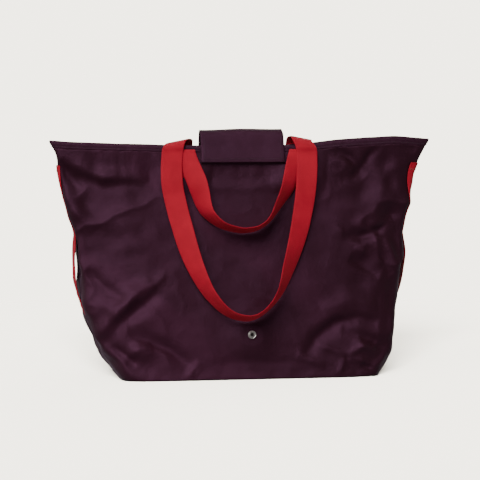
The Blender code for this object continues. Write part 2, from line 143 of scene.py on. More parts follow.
def nylon(name, deep, face, thread=0.0007, crush=1.0):
    """Satin-faced nylon: fine weave, faint warp streaks, pressed-in micro creases; its colour is mixed between a dark
    and a violet tone in random patches, and painted darker towards the right and left sides as shade.
    """
    mat, shader, place, cloth = new_material(name, Sheen_Weight=0.06, Sheen_Roughness=0.3,
                                             Sheen_Tint=(0.8, 0.42, 0.9, 1), Specular_IOR_Level=0.40,
                                             Specular_Tint=(1.0, 0.42, 0.84, 1))
    across = cloth.part("X")
    along = cloth.part("Y")
    warp = (across * (math.tau / thread)).apply("SINE")
    weft = (along * (math.tau / thread)).apply("SINE")
    weave = warp * weft
    streaks = cloth.node("ShaderNodeVectorMath", {0: cloth, 1: (1.0, 0.03, 1.0)},
                         operation="MULTIPLY").noise(900.0, 3.0)
    mottle = place.noise(14.0, 4.0, 0.6)
    patch = (place + mottle * 0.05).noise(7.0, 2.0, 0.5)
    # Painted shade: the colour is darkened towards the right side and, less, the left side, where the cloth turns
    # away from the light.
    painted_shade_right = place.part("X").ramp(0.05, 0.18)
    painted_shade_left = (0.0 - place.part("X")).ramp(0.10, 0.25)
    shade = patch.ramp(0.43, 0.57) * 0.6 + mottle.ramp(0.3, 0.72) * 0.15 + streaks.ramp(0.25, 0.75) * 0.25
    shade = shade * (1.0 - 0.8 * painted_shade_right - 0.35 * painted_shade_left)
    wire(shader, "Base Color", shade.mix((*deep, 1), (*face, 1)))
    wire(shader, "Roughness", 0.43 + 0.08 * mottle + 0.08 * streaks)
    creases = place.noise(120.0, 5.0, 0.62)
    soft = place.noise(38.0, 3.0, 0.5)
    wrinkled = soft.bump(0.0012 * crush)
    pressed = creases.bump(0.00022 * crush, below=wrinkled)
    wire(shader, "Normal", weave.bump(0.00004, below=pressed))
    return mat


shell_cloth = nylon("shell_nylon", (0.0130, 0.0019, 0.0021), (0.0300, 0.0059, 0.0126))


# ---------------------------------------------------------------------------------------------
# Shell form. Two panels cut from one width of nylon meet at the side seams; the base is boxed, the
# top is pinched shut. The empty bag stands on its own stiffness, so it sags and buckles a little.
# ---------------------------------------------------------------------------------------------
bag_low, bag_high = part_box("base_panel")
hem_low, hem_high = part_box("front_top_hem")
BAG_HEIGHT = hem_high[2]
HEM_HEIGHT = hem_high[2] - hem_low[2]
BASE_DEPTH = bag_high[1] - bag_low[1]
TOP_DEPTH = 0.021
CLOTH = 0.0012
SEAM_HEIGHTS = [0.0, 0.045, 0.085, 0.125, 0.180, 0.225, 0.252, 0.284, 0.321, 0.349, 0.361, 0.372]
LEFT_WIDTHS = [0.2065, 0.2265, 0.2425, 0.2580, 0.2630, 0.2670,
               0.2770, 0.2865, 0.2950, 0.2985, 0.3040, 0.3115]
RIGHT_WIDTHS = [0.2170, 0.2385, 0.2450, 0.2540, 0.2585, 0.2650,
                0.2725, 0.2790, 0.2875, 0.2995, 0.3070, 0.3140]
TOP_LINE_X = [-0.306, -0.285, -0.240, -0.180, -0.120, -0.075, 0.070, 0.112, 0.160, 0.210, 0.255, 0.285, 0.306]
TOP_LINE_RISE = [0.007, 0.005, 0.003, 0.001, -0.001, -0.002, -0.002, 0.001, 0.007, 0.010, 0.013, 0.010, 0.008]


def rounded(at, places, values, reach):
    """Broken line through the values, its corners rounded over the reach."""
    shifts = np.linspace(-1.5, 1.5, 13)
    weights = np.exp(-shifts ** 2)
    at = np.asarray(at, float)
    lines = [np.interp(at + shift * reach, places, values) for shift in shifts]
    return np.tensordot(weights / weights.sum(), np.array(lines), axes=1)


def half_depth(z):
    t = np.clip(np.asarray(z, float) / BAG_HEIGHT, 0, 1)
    return TOP_DEPTH / 2 + (BASE_DEPTH - TOP_DEPTH) / 2 * (1 - t ** 1.2)


def squareness(z):
    return 8.5 - 5.8 * min(max(z / BAG_HEIGHT, 0.0), 1.0) ** 0.7


def section(z, side, count, widen=0.0):
    """Half of the squared oval at a height, evenly spaced from the left seam to the right one."""
    power = 2 / squareness(z)
    turn = np.linspace(0, math.pi, 1201)
    cosine = np.cos(turn)
    width = np.where(cosine > 0, rounded(z, SEAM_HEIGHTS, LEFT_WIDTHS, 0.008),
                     rounded(z, SEAM_HEIGHTS, RIGHT_WIDTHS, 0.008)) + widen
    x = -width * np.sign(cosine) * np.abs(cosine) ** power
    y = -side * (half_depth(z) + widen) * np.abs(np.sin(turn)) ** power
    along = np.concatenate([[0], np.cumsum(np.hypot(np.diff(x), np.diff(y)))])
    at = np.linspace(0, along[-1], count)
    return np.stack([np.interp(at, along, x), np.interp(at, along, y)], axis=1), along[-1]


def shell_grid(side, heights, count, widen=0.0):
    """Points of one panel, rows upwards, and the distance of each from the panel's middle."""
    points = np.zeros((len(heights), count, 3))
    reach = np.zeros((len(heights), count))
    for row, z in enumerate(heights):
        ring, total = section(z, side, count, widen)
        points[row, :, :2] = ring
        lift = rounded(ring[:, 0], TOP_LINE_X, TOP_LINE_RISE, 0.012) * (z / BAG_HEIGHT) ** 6
        points[row, :, 2] = z + lift
        reach[row] = np.linspace(-total / 2, total / 2, count)
    return points, reach


def grid_normals(points):
    across = np.gradient(points, axis=1)
    upward = np.gradient(points, axis=0)
    normal = np.cross(across, upward)
    return normal / np.maximum(np.linalg.norm(normal, axis=2, keepdims=True), 1e-9)


def blurred(values, times):
    """Values of a grid averaged with their neighbours, the rim kept."""
    out = values.copy()
    for _ in range(times):
        out[1:-1] = out[1:-1] * 0.5 + (out[:-2] + out[2:]) * 0.25
        out[:, 1:-1] = out[:, 1:-1] * 0.5 + (out[:, :-2] + out[:, 2:]) * 0.25
    return out


def linked(name, data):
    """A new object that holds the data, in the scene."""
    obj = bpy.data.objects.new(name, data)
    bpy.context.collection.objects.link(obj)
    return obj


def poured(name, shape, mat):
    """A new object out of a bmesh, which is freed."""
    mesh = bpy.data.meshes.new(name)
    shape.to_mesh(mesh)
    shape.free()
    mesh.materials.append(mat)
    return linked(name, mesh)


def lengths_along(points):
    """Distance of each point from the first one, measured along the line."""
    return np.concatenate([[0], np.cumsum(np.linalg.norm(np.diff(points, axis=0), axis=1))])


def tube_faces(rings, around):
    """Quads between each ring of points and the next one."""
    faces = []
    for r in range(rings - 1):
        for i in range(around):
            j = (i + 1) % around
            faces.append((r * around + i, r * around + j, (r + 1) * around + j, (r + 1) * around + i))
    return faces


def mesh_object(name, points, faces, mat, uvs=None):
    mesh = bpy.data.meshes.new(name)
    mesh.from_pydata(np.asarray(points, float).tolist(), [], faces)
    if uvs is not None:
        layer = mesh.uv_layers.new(name="UVMap")
        corner = np.zeros(len(mesh.loops), int)
        mesh.loops.foreach_get("vertex_index", corner)
        layer.data.foreach_set("uv", np.asarray(uvs, np.float32)[corner].ravel())
    mesh.materials.append(mat)
    mesh.shade_smooth()
    return linked(name, mesh)


def cloth_sheet(name, outer, thickness, mat, uv, flip=False):
    """Closed sheet: the outer grid, a copy set in by the thickness, and the rim between them."""
    rows, columns = outer.shape[:2]
    count = rows * columns
    inward = -grid_normals(outer) * thickness * (-1 if flip else 1)
    inner = outer + inward
    faces = []
    for r in range(rows - 1):
        for c in range(columns - 1):
            a = r * columns + c
            quad = (a, a + 1, a + columns + 1, a + columns)
            if flip:
                quad = quad[::-1]
            faces.append(quad)
            faces.append(tuple(i + count for i in reversed(quad)))
    rim = [(0, c) for c in range(columns)] + [(r, columns - 1) for r in range(1, rows)]
    rim += [(rows - 1, c) for c in range(columns - 2, -1, -1)] + [(r, 0) for r in range(rows - 2, 0, -1)]
    edge = [r * columns + c for r, c in rim]
    for a, b in zip(edge, edge[1:] + edge[:1]):
        quad = (b, a, a + count, b + count)
        faces.append(quad[::-1] if flip else quad)
    points = np.concatenate([outer.reshape(-1, 3), inner.reshape(-1, 3)])
    uvs = np.concatenate([uv.reshape(-1, 2), uv.reshape(-1, 2)])
    return mesh_object(name, points, faces, mat, uvs)


STUB_X = 0.094
STUD_HEIGHT = 0.071
SIM_COLUMNS = 76
SIM_ROWS = 40
SHELL_BOTTOM = CLOTH + 0.0003
SHELL_TOP = BAG_HEIGHT - HEM_HEIGHT


def settled_shell():
    """How far each point of a coarse shell moves when its cloth settles under its own weight."""
    heights = np.linspace(SHELL_BOTTOM, SHELL_TOP, SIM_ROWS)
    front = shell_grid(1, heights, SIM_COLUMNS)[0]
    back = shell_grid(-1, heights, SIM_COLUMNS)[0]
    tube = np.concatenate([front, back[:, -2:0:-1]], axis=1)
    around = tube.shape[1]
    mesh = bpy.data.meshes.new("settling")
    mesh.from_pydata(tube.reshape(-1, 3).tolist(), [], tube_faces(SIM_ROWS, around))
    settling = linked("settling", mesh)
    held = settling.vertex_groups.new(name="held")
    for r in range(SIM_ROWS):
        for c in range(around):
            x, y, z = tube[r, c]
            rim = 1.0 if r in (0, SIM_ROWS - 1) else 0.0
            sewn = 0.8 if abs(abs(x) - STUB_X) < 0.022 and 0.315 < z else 0.0
            seam = 0.75 if abs(y) < 0.012 and (z > 0.22 or z < 0.09) else 0.0
            near_rim = 0.35 * math.exp(-(z - SHELL_BOTTOM) / 0.02) + 0.35 * math.exp(-(SHELL_TOP - z) / 0.02)
            held.add([r * around + c], max(rim, sewn, seam, near_rim), "REPLACE")
    cloth = settling.modifiers.new("cloth", "CLOTH")
    for key, value in (("quality", 6), ("mass", 0.12), ("tension_stiffness", 18), ("compression_stiffness", 18),
                       ("shear_stiffness", 6), ("bending_stiffness", 0.6), ("shrink_min", -0.016),
                       ("vertex_group_mass", "held"), ("pin_stiffness", 1.0), ("use_pressure", True),
                       ("uniform_pressure_force", 0.12)):
        setattr(cloth.settings, key, value)
    cloth.collision_settings.use_collision = False
    cloth.point_cache.frame_start = 1
    cloth.point_cache.frame_end = 30
    scene = bpy.context.scene
    for step in range(1, 27):
        scene.frame_set(step)
    result = settling.evaluated_get(bpy.context.evaluated_depsgraph_get()).to_mesh()
    moved = np.zeros(len(result.vertices) * 3)
    result.vertices.foreach_get("co", moved)
    moved = moved.reshape(SIM_ROWS, around, 3) - tube
    bpy.data.objects.remove(settling)
    scene.frame_set(1)
    length = np.linalg.norm(moved, axis=2, keepdims=True)
    moved *= np.minimum(1.0, 0.0075 / np.maximum(length, 1e-9))
    seam_right = SIM_COLUMNS - 1
    back_moved = np.concatenate([moved[:, :1], moved[:, :seam_right - 1:-1]], axis=1)
    return {1: moved[:, :SIM_COLUMNS], -1: back_moved}


def stretched(values, rows, columns):
    """A coarse grid of vectors spread smoothly over a finer one."""
    coarse_rows = np.linspace(0, 1, values.shape[0])
    coarse_columns = np.linspace(0, 1, values.shape[1])
    tall = np.array([[np.interp(np.linspace(0, 1, rows), coarse_rows, values[:, c, k])
                      for c in range(values.shape[1])] for k in range(3)])
    wide = np.array([[np.interp(np.linspace(0, 1, columns), coarse_columns, tall[k, :, r])
                      for r in range(rows)] for k in range(3)])
    return blurred(np.moveaxis(wide, 0, 2), 5)


def fold(reach, height, points, width, rise, lean=0.0):
    """Ridge (or trough) along a path of (reach, height) points, fading out at both ends."""
    points = np.array(points, float)
    steps = np.linalg.norm(np.diff(points, axis=0), axis=1)
    starts = np.concatenate([[0], np.cumsum(steps)])
    best = np.full(reach.shape, 1e9)
    signed = np.zeros(reach.shape)
    along = np.zeros(reach.shape)
    for a, b, start, length in zip(points, points[1:], starts, steps):
        unit = (b - a) / length
        run = np.clip((reach - a[0]) * unit[0] + (height - a[1]) * unit[1], 0, length)
        dx = reach - a[0] - run * unit[0]
        dz = height - a[1] - run * unit[1]
        distance = np.hypot(dx, dz)
        side = np.sign(unit[0] * dz - unit[1] * dx) * distance
        near = distance < best
        best = np.where(near, distance, best)
        signed = np.where(near, side, signed)
        along = np.where(near, (start + run) / starts[-1], along)
    taper = np.sin(np.clip(along, 0.0, 1.0) * math.pi) ** 0.6
    ends = np.exp(-(best / width) ** 2)
    sheer = np.sqrt((signed / width) ** 2 + 0.08) - 0.28
    crest = np.exp(-1.3 * sheer) * 0.5 + ends * 0.5
    return rise * taper * (crest * np.exp(-(best / (2.6 * width)) ** 2) + lean * signed / width * ends)


# Each fold: its path, its half width, how far it stands out, and which side falls away steeply
FRONT_FOLDS = [
    ([(-0.305, 0.350), (-0.268, 0.333), (-0.225, 0.318), (-0.150, 0.317)], 0.011, 0.0050, 0.7),
    ([(-0.298, 0.340), (-0.276, 0.318), (-0.258, 0.296)], 0.014, -0.0055, 0.0),
    ([(-0.286, 0.300), (-0.262, 0.262), (-0.240, 0.236)], 0.014, 0.0030, 0.3),
    ([(0.140, 0.368), (0.172, 0.350), (0.198, 0.330), (0.206, 0.316)], 0.0095, -0.0060, -0.5),
    ([(0.226, 0.366), (0.208, 0.346), (0.196, 0.328)], 0.0085, -0.0035, 0.4),
    ([(0.204, 0.330), (0.186, 0.318), (0.165, 0.316)], 0.008, -0.0030, 0.0),
    ([(0.156, 0.350), (0.182, 0.330), (0.178, 0.312)], 0.010, 0.0028, 0.3),
    ([(0.252, 0.368), (0.272, 0.362), (0.290, 0.356)], 0.008, -0.0050, 0.0),
    ([(0.262, 0.340), (0.236, 0.310), (0.226, 0.275)], 0.016, 0.0035, 0.3),
    ([(0.160, 0.226), (0.192, 0.222), (0.222, 0.232), (0.256, 0.262)], 0.011, -0.0065, 0.7),
    ([(0.205, 0.238), (0.226, 0.243), (0.250, 0.252)], 0.008, 0.0045, 0.3),
    ([(0.196, 0.204), (0.224, 0.190), (0.248, 0.166)], 0.012, -0.0050, -0.3),
    ([(0.232, 0.222), (0.243, 0.198), (0.252, 0.168)], 0.009, 0.0045, 0.3),
    ([(0.172, 0.190), (0.196, 0.176), (0.222, 0.160)], 0.012, -0.0050, 0.4),
    ([(0.180, 0.206), (0.206, 0.196), (0.230, 0.180)], 0.008, 0.0030, 0.0),
    ([(-0.256, 0.176), (-0.226, 0.150), (-0.190, 0.124)], 0.016, -0.0060, -0.4),
    ([(-0.252, 0.062), (-0.222, 0.094), (-0.190, 0.126), (-0.150, 0.158)], 0.012, 0.0062, 0.4),
    ([(-0.220, 0.082), (-0.182, 0.108), (-0.138, 0.142)], 0.012, -0.0055, 0.3),
    ([(-0.172, 0.126), (-0.150, 0.150), (-0.126, 0.172)], 0.008, 0.0025, 0.3),
    ([(-0.200, 0.074), (-0.168, 0.066), (-0.136, 0.052), (-0.108, 0.030), (-0.090, 0.016)],
     0.013, -0.0062, 0.3),
    ([(-0.086, 0.034), (-0.098, 0.018), (-0.108, 0.002)], 0.008, 0.0032, 0.0),
    ([(-0.226, 0.058), (-0.206, 0.044), (-0.186, 0.030)], 0.009, -0.0045, 0.0),
    ([(-0.215, 0.030), (-0.190, 0.050), (-0.160, 0.056)], 0.010, 0.0035, 0.0),
    ([(0.078, 0.034), (0.104, 0.066), (0.140, 0.090), (0.178, 0.098), (0.212, 0.086)], 0.012, -0.0062, -0.5),
    ([(0.120, 0.110), (0.165, 0.122), (0.215, 0.118)], 0.014, 0.0030, 0.0),
    ([(0.150, 0.078), (0.190, 0.062), (0.232, 0.036)], 0.012, -0.0058, 0.4),
    ([(0.152, 0.036), (0.128, 0.048), (0.104, 0.056)], 0.007, 0.0030, 0.3),
    ([(0.152, 0.036), (0.176, 0.048), (0.200, 0.060)], 0.007, 0.0035, 0.3),
    ([(0.154, 0.034), (0.176, 0.030), (0.206, 0.016)], 0.007, 0.0032, -0.3),
    ([(0.150, 0.034), (0.142, 0.018), (0.136, 0.004)], 0.007, 0.0028, 0.0),
    ([(0.176, 0.024), (0.192, 0.016), (0.206, 0.006)], 0.008, -0.0040, 0.0),
    ([(0.070, 0.042), (0.092, 0.032), (0.116, 0.020)], 0.007, 0.0028, 0.0),
    ([(-0.085, 0.026), (0.000, 0.030), (0.090, 0.026)], 0.010, -0.0016, 0.5),
    ([(-0.070, 0.306), (0.000, 0.302), (0.078, 0.307)], 0.011, 0.0014, 0.4),
    ([(-0.185, 0.290), (-0.200, 0.230), (-0.190, 0.180)], 0.026, 0.0022, 0.0),
    ([(0.030, 0.220), (0.020, 0.150), (0.036, 0.100)], 0.040, 0.0018, 0.0),
]


def mirrored_folds(folds, seed):
    """Folds of the same kind for the back: mirrored and shifted, with other depths."""
    chance = np.random.default_rng(seed)
    out = []
    for points, width, rise, lean in folds:
        if chance.random() < 0.2:
            continue
        move = chance.normal(0, 0.010, 2)
        out.append(([(-x + move[0], z + move[1]) for x, z in points], width * chance.uniform(0.85, 1.3),
                    rise * chance.uniform(0.6, 1.0), lean))
    return out


def ripples(points, scale, seed):
    """Smooth noise over the points: a few turned waves at each of four sizes."""
    chance = np.random.default_rng(seed)
    total = np.zeros(points.shape[:2])
    for octave in range(4):
        for _ in range(5):
            direction = chance.normal(size=3)
            direction *= math.tau / (scale / 1.8 ** octave) / np.linalg.norm(direction)
            total += np.sin(points @ direction + chance.uniform(0, math.tau)) * 0.55 ** octave
    return total / 5


def attached(obj, body, slot, *replaced):
    """Makes the piece ride the body and stand for the CAD pieces; the slot is not used."""
    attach(obj, body)
    if replaced:
        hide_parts(*replaced)


PANEL_COLUMNS = 244
PANEL_ROWS = 142
settled = settled_shell()


def panel_surface(side, folds, seed):
    """The outer face of one panel, with its sag, folds and seam puckers."""
    heights = np.linspace(SHELL_BOTTOM, SHELL_TOP, PANEL_ROWS)
    points, reach = shell_grid(side, heights, PANEL_COLUMNS)
    normals = grid_normals(points) * side
    outward = normals.copy()
    outward[:, :, 2] *= 0.35
    height = np.repeat(heights[:, None], PANEL_COLUMNS, axis=1)
    swell = np.zeros(reach.shape)
    for path, width, rise, lean in folds:
        swell += 1.15 * fold(reach, height, path, width, rise, lean)
    from_rim = np.minimum(height - SHELL_BOTTOM, SHELL_TOP - height)
    swell *= np.clip(from_rim / 0.012, 0, 1) ** 0.7
    swell += 0.0007 * ripples(points, 0.11, seed) * np.clip(from_rim / 0.03, 0, 1)
    crumpled = np.clip((np.abs(reach) - 0.10) / 0.10, 0, 1) * 0.8 + 0.2
    creases = np.abs(ripples(points * [1, 1, 0.8], 0.16, seed + 3)) ** 0.8
    swell += 0.0095 * (0.25 - creases) * crumpled * np.clip(from_rim / 0.03, 0, 1)
    below_hem = np.exp(-(SHELL_TOP - height) / 0.009)
    above_base = np.exp(-(height - SHELL_BOTTOM) / 0.011)
    swell += 0.0006 * ripples(points * [1, 1, 0.15], 0.017, seed + 1) * (below_hem + 0.5 * above_base)
    inside_seam = np.clip((np.abs(reach).max(axis=1, keepdims=True) - np.abs(reach)) / 0.014, 0, 1)
    swell *= 0.25 + 0.75 * inside_seam
    sewn = np.clip(2.2 - np.abs(np.abs(reach) - STUB_X) / 0.021, 0, 1)
    sewn *= np.clip((height - 0.296) / 0.016, 0, 1)
    studded = np.clip((0.066 - np.hypot(reach, height - STUD_HEIGHT)) / 0.048, 0, 1) ** 2 * (side > 0)
    firm = 1 - np.maximum(sewn, studded)
    swell -= 0.0045 * above_base
    swell *= firm
    if settled:
        points = points + stretched(settled[side], PANEL_ROWS, PANEL_COLUMNS) * 0.8 * firm[:, :, None]
    points = points + outward * swell[:, :, None]
    points[:, :, 1] = -side * np.maximum(-side * points[:, :, 1], 0.0002)
    return points, np.stack([reach, height], axis=2)


surface = {}
for panel_name, side, folds, seed in (("front_panel", 1, FRONT_FOLDS, 11),
                                      ("back_panel", -1, mirrored_folds(FRONT_FOLDS, 5), 23)):
    points, uv = panel_surface(side, folds, seed)
    surface[side] = points
    panel = cloth_sheet(f"{panel_name}_cloth", points, CLOTH * 0.8, shell_cloth, uv, flip=side < 0)
    attached(panel, "bag", "shell_fabric", panel_name)


def near_seam(side, row, hand, count):
    """The first points of a panel's row, counted from its left seam (hand -1) or its right one."""
    return surface[side][row, :count] if hand < 0 else surface[side][row, :-count - 1:-1]


def face_y(x, z, side=1):
    """Where the panel's outer face is, at this x and height."""
    grid = surface[side]
    row_heights = grid[:, PANEL_COLUMNS // 2, 2]
    r = int(np.clip(np.searchsorted(row_heights, z) - 1, 0, PANEL_ROWS - 2))
    share = np.clip((z - row_heights[r]) / (row_heights[r + 1] - row_heights[r]), 0, 1)
    low = np.interp(x, grid[r, :, 0], grid[r, :, 1])
    high = np.interp(x, grid[r + 1, :, 0], grid[r + 1, :, 1])
    return low * (1 - share) + high * share


# ---------------------------------------------------------------------------------------------
# Base. One nylon panel, boxed at its corners and sewn to the shell all round; it lies on the
# ground, lifting slightly where the seam allowance turns up inside.
# ---------------------------------------------------------------------------------------------
def base_mesh():
    ring = np.concatenate([surface[1][0], surface[-1][0][-2:0:-1]])
    ring[:, 2] = SHELL_BOTTOM
    steps = np.array([1.004, 0.994, 0.984, 0.965, 0.92, 0.84, 0.72, 0.56, 0.38, 0.2])
    drop = np.array([SHELL_BOTTOM, 0.0006, 0.0001, 0.0, 0.0, 0.0, 0.0, 0.0, 0.0, 0.0])
    count = len(ring)
    points = []
    for step, z in zip(steps, drop):
        loop = ring * [step, step, 0]
        loop[:, 2] = z
        points.append(loop)
    points = np.concatenate(points + [np.array([[0.0, 0.0, 0.0]])])
    faces = []
    for k in range(len(steps) - 1):
        for i in range(count):
            j = (i + 1) % count
            faces.append((k * count + j, k * count + i, (k + 1) * count + i, (k + 1) * count + j))
    last = (len(steps) - 1) * count
    for i in range(count):
        faces.append((last + (i + 1) % count, last + i, len(points) - 1))
    return mesh_object("base_cloth", points, faces, shell_cloth, points[:, :2])


base = base_mesh()
attached(base, "bag", "shell_fabric", "base_panel")


# ---------------------------------------------------------------------------------------------
# Hems and stitching. The top edges are turned in twice and lockstitched, which makes a firm
# band a centimetre high with a row of thread near its lower edge and puckers under it.
# ---------------------------------------------------------------------------------------------
def thread_material(name, colour):
    mat, shader, place = new_material(name, Sheen_Weight=0.2, Specular_IOR_Level=0.35)[:3]
    twist = place.noise(2600.0, 2.0)
    wire(shader, "Base Color", twist.mix((*[c * 0.6 for c in colour], 1), (*[c * 1.3 for c in colour], 1)))
    wire(shader, "Roughness", 0.5 + 0.2 * twist)
    return mat


dark_thread = thread_material("dark_thread", (0.030, 0.011, 0.019))
red_thread = thread_material("red_thread", (0.36, 0.018, 0.024))


def stitch_nodes():
    """Geometry nodes that lay one short thread stitch at each pitch along every edge path."""
    tree = bpy.data.node_groups.new("stitch_line", "GeometryNodeTree")
    tree.interface.new_socket("Geometry", in_out="INPUT", socket_type="NodeSocketGeometry")
    for label, value in (("Pitch", 0.0032), ("Stitch", 0.0024), ("Thread", 0.00028)):
        made = tree.interface.new_socket(label, in_out="INPUT", socket_type="NodeSocketFloat")
        made.default_value = value
    tree.interface.new_socket("Material", in_out="INPUT", socket_type="NodeSocketMaterial")
    tree.interface.new_socket("Geometry", in_out="OUTPUT", socket_type="NodeSocketGeometry")
    add = tree.nodes.new
    link = tree.links.new
    given = add("NodeGroupInput")
    path = add("GeometryNodeMeshToCurve")
    spaced = add("GeometryNodeResampleCurve")
    spaced.mode = "LENGTH"
    link(given.outputs["Geometry"], path.inputs["Mesh"])
    link(path.outputs["Curve"], spaced.inputs["Curve"])
    link(given.outputs["Pitch"], spaced.inputs["Length"])
    bead = add("GeometryNodeMeshUVSphere")
    bead.inputs["Segments"].default_value = 6
    bead.inputs["Rings"].default_value = 5
    bead.inputs["Radius"].default_value = 1.0
    size = add("ShaderNodeCombineXYZ")
    half = add("ShaderNodeMath")
    half.operation = "MULTIPLY"
    half.inputs[1].default_value = 0.5
    link(given.outputs["Stitch"], half.inputs[0])
    link(given.outputs["Thread"], size.inputs["X"])
    link(given.outputs["Thread"], size.inputs["Y"])
    link(half.outputs[0], size.inputs["Z"])
    tangent = add("GeometryNodeInputTangent")
    turn = add("FunctionNodeAlignRotationToVector")
    turn.axis = "Z"
    link(tangent.outputs["Tangent"], turn.inputs["Vector"])
    placed = add("GeometryNodeInstanceOnPoints")
    link(spaced.outputs["Curve"], placed.inputs["Points"])
    link(bead.outputs["Mesh"], placed.inputs["Instance"])
    link(turn.outputs["Rotation"], placed.inputs["Rotation"])
    link(size.outputs["Vector"], placed.inputs["Scale"])
    real = add("GeometryNodeRealizeInstances")
    link(placed.outputs["Instances"], real.inputs["Geometry"])
    painted = add("GeometryNodeSetMaterial")
    link(real.outputs["Geometry"], painted.inputs["Geometry"])
    link(given.outputs["Material"], painted.inputs["Material"])
    result = add("NodeGroupOutput")
    link(painted.outputs["Geometry"], result.inputs["Geometry"])
    return tree


stitch_tree = stitch_nodes()


def stitches(name, paths, thread, pitch=0.0032, stitch=0.0024, radius=0.00028):
    """Rows of stitches along the paths, as one plain mesh."""
    points = []
    edges = []
    for path in paths:
        first = len(points)
        points += [list(map(float, p)) for p in path]
        edges += [(i, i + 1) for i in range(first, len(points) - 1)]
    mesh = bpy.data.meshes.new(name + "_path")
    mesh.from_pydata(points, edges, [])
    guide = linked(name + "_path", mesh)
    sewing = guide.modifiers.new("stitches", "NODES")
    sewing.node_group = stitch_tree
    for item in stitch_tree.interface.items_tree:
        if item.in_out == "INPUT" and item.name in ("Pitch", "Stitch", "Thread", "Material"):
            chosen = {"Pitch": pitch, "Stitch": stitch, "Thread": radius, "Material": thread}[item.name]
            sewing[item.identifier] = chosen
    bpy.context.view_layer.update()
    evaluated = guide.evaluated_get(bpy.context.evaluated_depsgraph_get())
    made = bpy.data.meshes.new_from_object(evaluated)
    made.name = name
    bpy.data.objects.remove(guide)
    if not made.materials:
        made.materials.append(thread)
    made.shade_smooth()
    return linked(name, made)


hem_cloth = nylon("hem_nylon", (0.019, 0.0042, 0.0082), (0.027, 0.0062, 0.0122), crush=0.8)
HEM_THICKNESS = 0.0024
HEM_COLUMNS = 420


def hem(name, side):
    """Turned band: bulged face, rolled top edge, straight inner face; returns its stitch row too."""
    profile = [(0.0000, -0.0002), (0.0006, 0.0004), (0.0008, 0.0016), (0.0004, 0.0024), (0.0008, 0.0036),
               (0.0011, 0.0060), (0.0009, 0.0085), (0.0003, 0.0098), (-0.0008, 0.0104), (-0.0018, 0.0098),
               (-0.0024, 0.0080), (-0.0024, 0.0000)]
    rings = []
    for out, rise in profile:
        z = SHELL_TOP + rise
        ring, total = section(min(z, BAG_HEIGHT), side, HEM_COLUMNS, widen=out)
        ring[:, 1] = -side * np.maximum(-side * ring[:, 1], 0.0002)
        lift = rounded(ring[:, 0], TOP_LINE_X, TOP_LINE_RISE, 0.012) * (z / BAG_HEIGHT) ** 6
        rings.append(np.column_stack([ring, z + lift]))
    grid = np.array(rings)
    wave = ripples(grid * [1, 1, 0.3], 0.022, 31 + side)
    face = np.array([0.3, 0.6, 0.8, 1, 1, 1, 0.8, 0.5, 0.3, 0.1, 0, 0])
    grid[:, :, 1] += -side * 0.00028 * wave * face[:, None]
    grid[:, :, 2] += 0.00035 * ripples(grid * [1, 1, 0.0], 0.05, 41 + side)
    rows, columns = grid.shape[:2]
    faces = []
    for r in range(rows):
        s = (r + 1) % rows
        for c in range(columns - 1):
            quad = (r * columns + c, r * columns + c + 1, s * columns + c + 1, s * columns + c)
            faces.append(quad if side > 0 else quad[::-1])
    left_end = tuple(r * columns for r in range(rows))
    right_end = tuple(r * columns + columns - 1 for r in range(rows))
    faces.append(left_end if side > 0 else left_end[::-1])
    faces.append(right_end[::-1] if side > 0 else right_end)
    along = np.linspace(-total / 2, total / 2, columns)
    uv = np.array([[(u, v[1] + 0.5) for u in along] for v in profile])
    band = mesh_object(name + "_cloth", grid.reshape(-1, 3), faces, hem_cloth, uv.reshape(-1, 2))
    band.data.set_sharp_from_angle(angle=math.radians(60))
    row = grid[3] + [0, -side * 0.00012, 0]
    return band, row


for hem_name, side in (("front_top_hem", 1), ("back_top_hem", -1)):
    band, row = hem(hem_name, side)
    attached(band, "bag", "shell_fabric", hem_name)
    sewn = stitches(f"{hem_name}_stitches", [row[4:-4]], dark_thread)
    attached(sewn, "bag", "shell_fabric")


# ---------------------------------------------------------------------------------------------
# Zip. A nylon coil zip closes the top between the hems: two woven tapes, two rows of coil, a small
# nickel slider with a puller, and folded cloth tabs sewn over both ends.
# ---------------------------------------------------------------------------------------------
def webbed(name, deep, bright, pitch, rib, wale, roughness=0.58, sheen=0.1):
    """Woven tape or webbing: cross ribs broken into columns, with fuzz at the surface; the colour is painted darker
    in the valleys between the ribs as shade, and mottled at random.
    """
    mat, shader, place, cloth = new_material(name, Sheen_Weight=sheen, Sheen_Roughness=0.5,
                                             Sheen_Tint=(1.0, 0.25, 0.3, 1), Specular_IOR_Level=0.2,
                                             Specular_Tint=(1.0, 0.5, 0.5, 1))
    across = cloth.part("X")
    along = cloth.part("Y")
    column = (across / wale).apply("FLOOR")
    shift = column.apply("MODULO", 2.0) * 0.5
    ribs = ((along / pitch + shift) * math.pi).apply("SINE").apply("ABSOLUTE")
    crown = ((across / wale) * math.pi).apply("SINE").apply("ABSOLUTE")
    weave = ribs.apply("POWER", 0.6) * crown.apply("POWER", 0.45)
    fuzz = place.noise(900.0, 3.0)
    mottle = place.noise(30.0, 4.0, 0.6)
    # Painted shade: the weave term darkens the colour in the valleys between the ribs; the mottle and fuzz are random
    # tone.
    shade = weave * 0.55 + mottle.ramp(0.3, 0.7) * 0.3 + fuzz.ramp(0.3, 0.7) * 0.15
    wire(shader, "Base Color", shade.mix((*deep, 1), (*bright, 1)))
    wire(shader, "Roughness", roughness + 0.15 * fuzz)
    wire(shader, "Normal", (weave + fuzz * 0.2).bump(rib))
    return mat


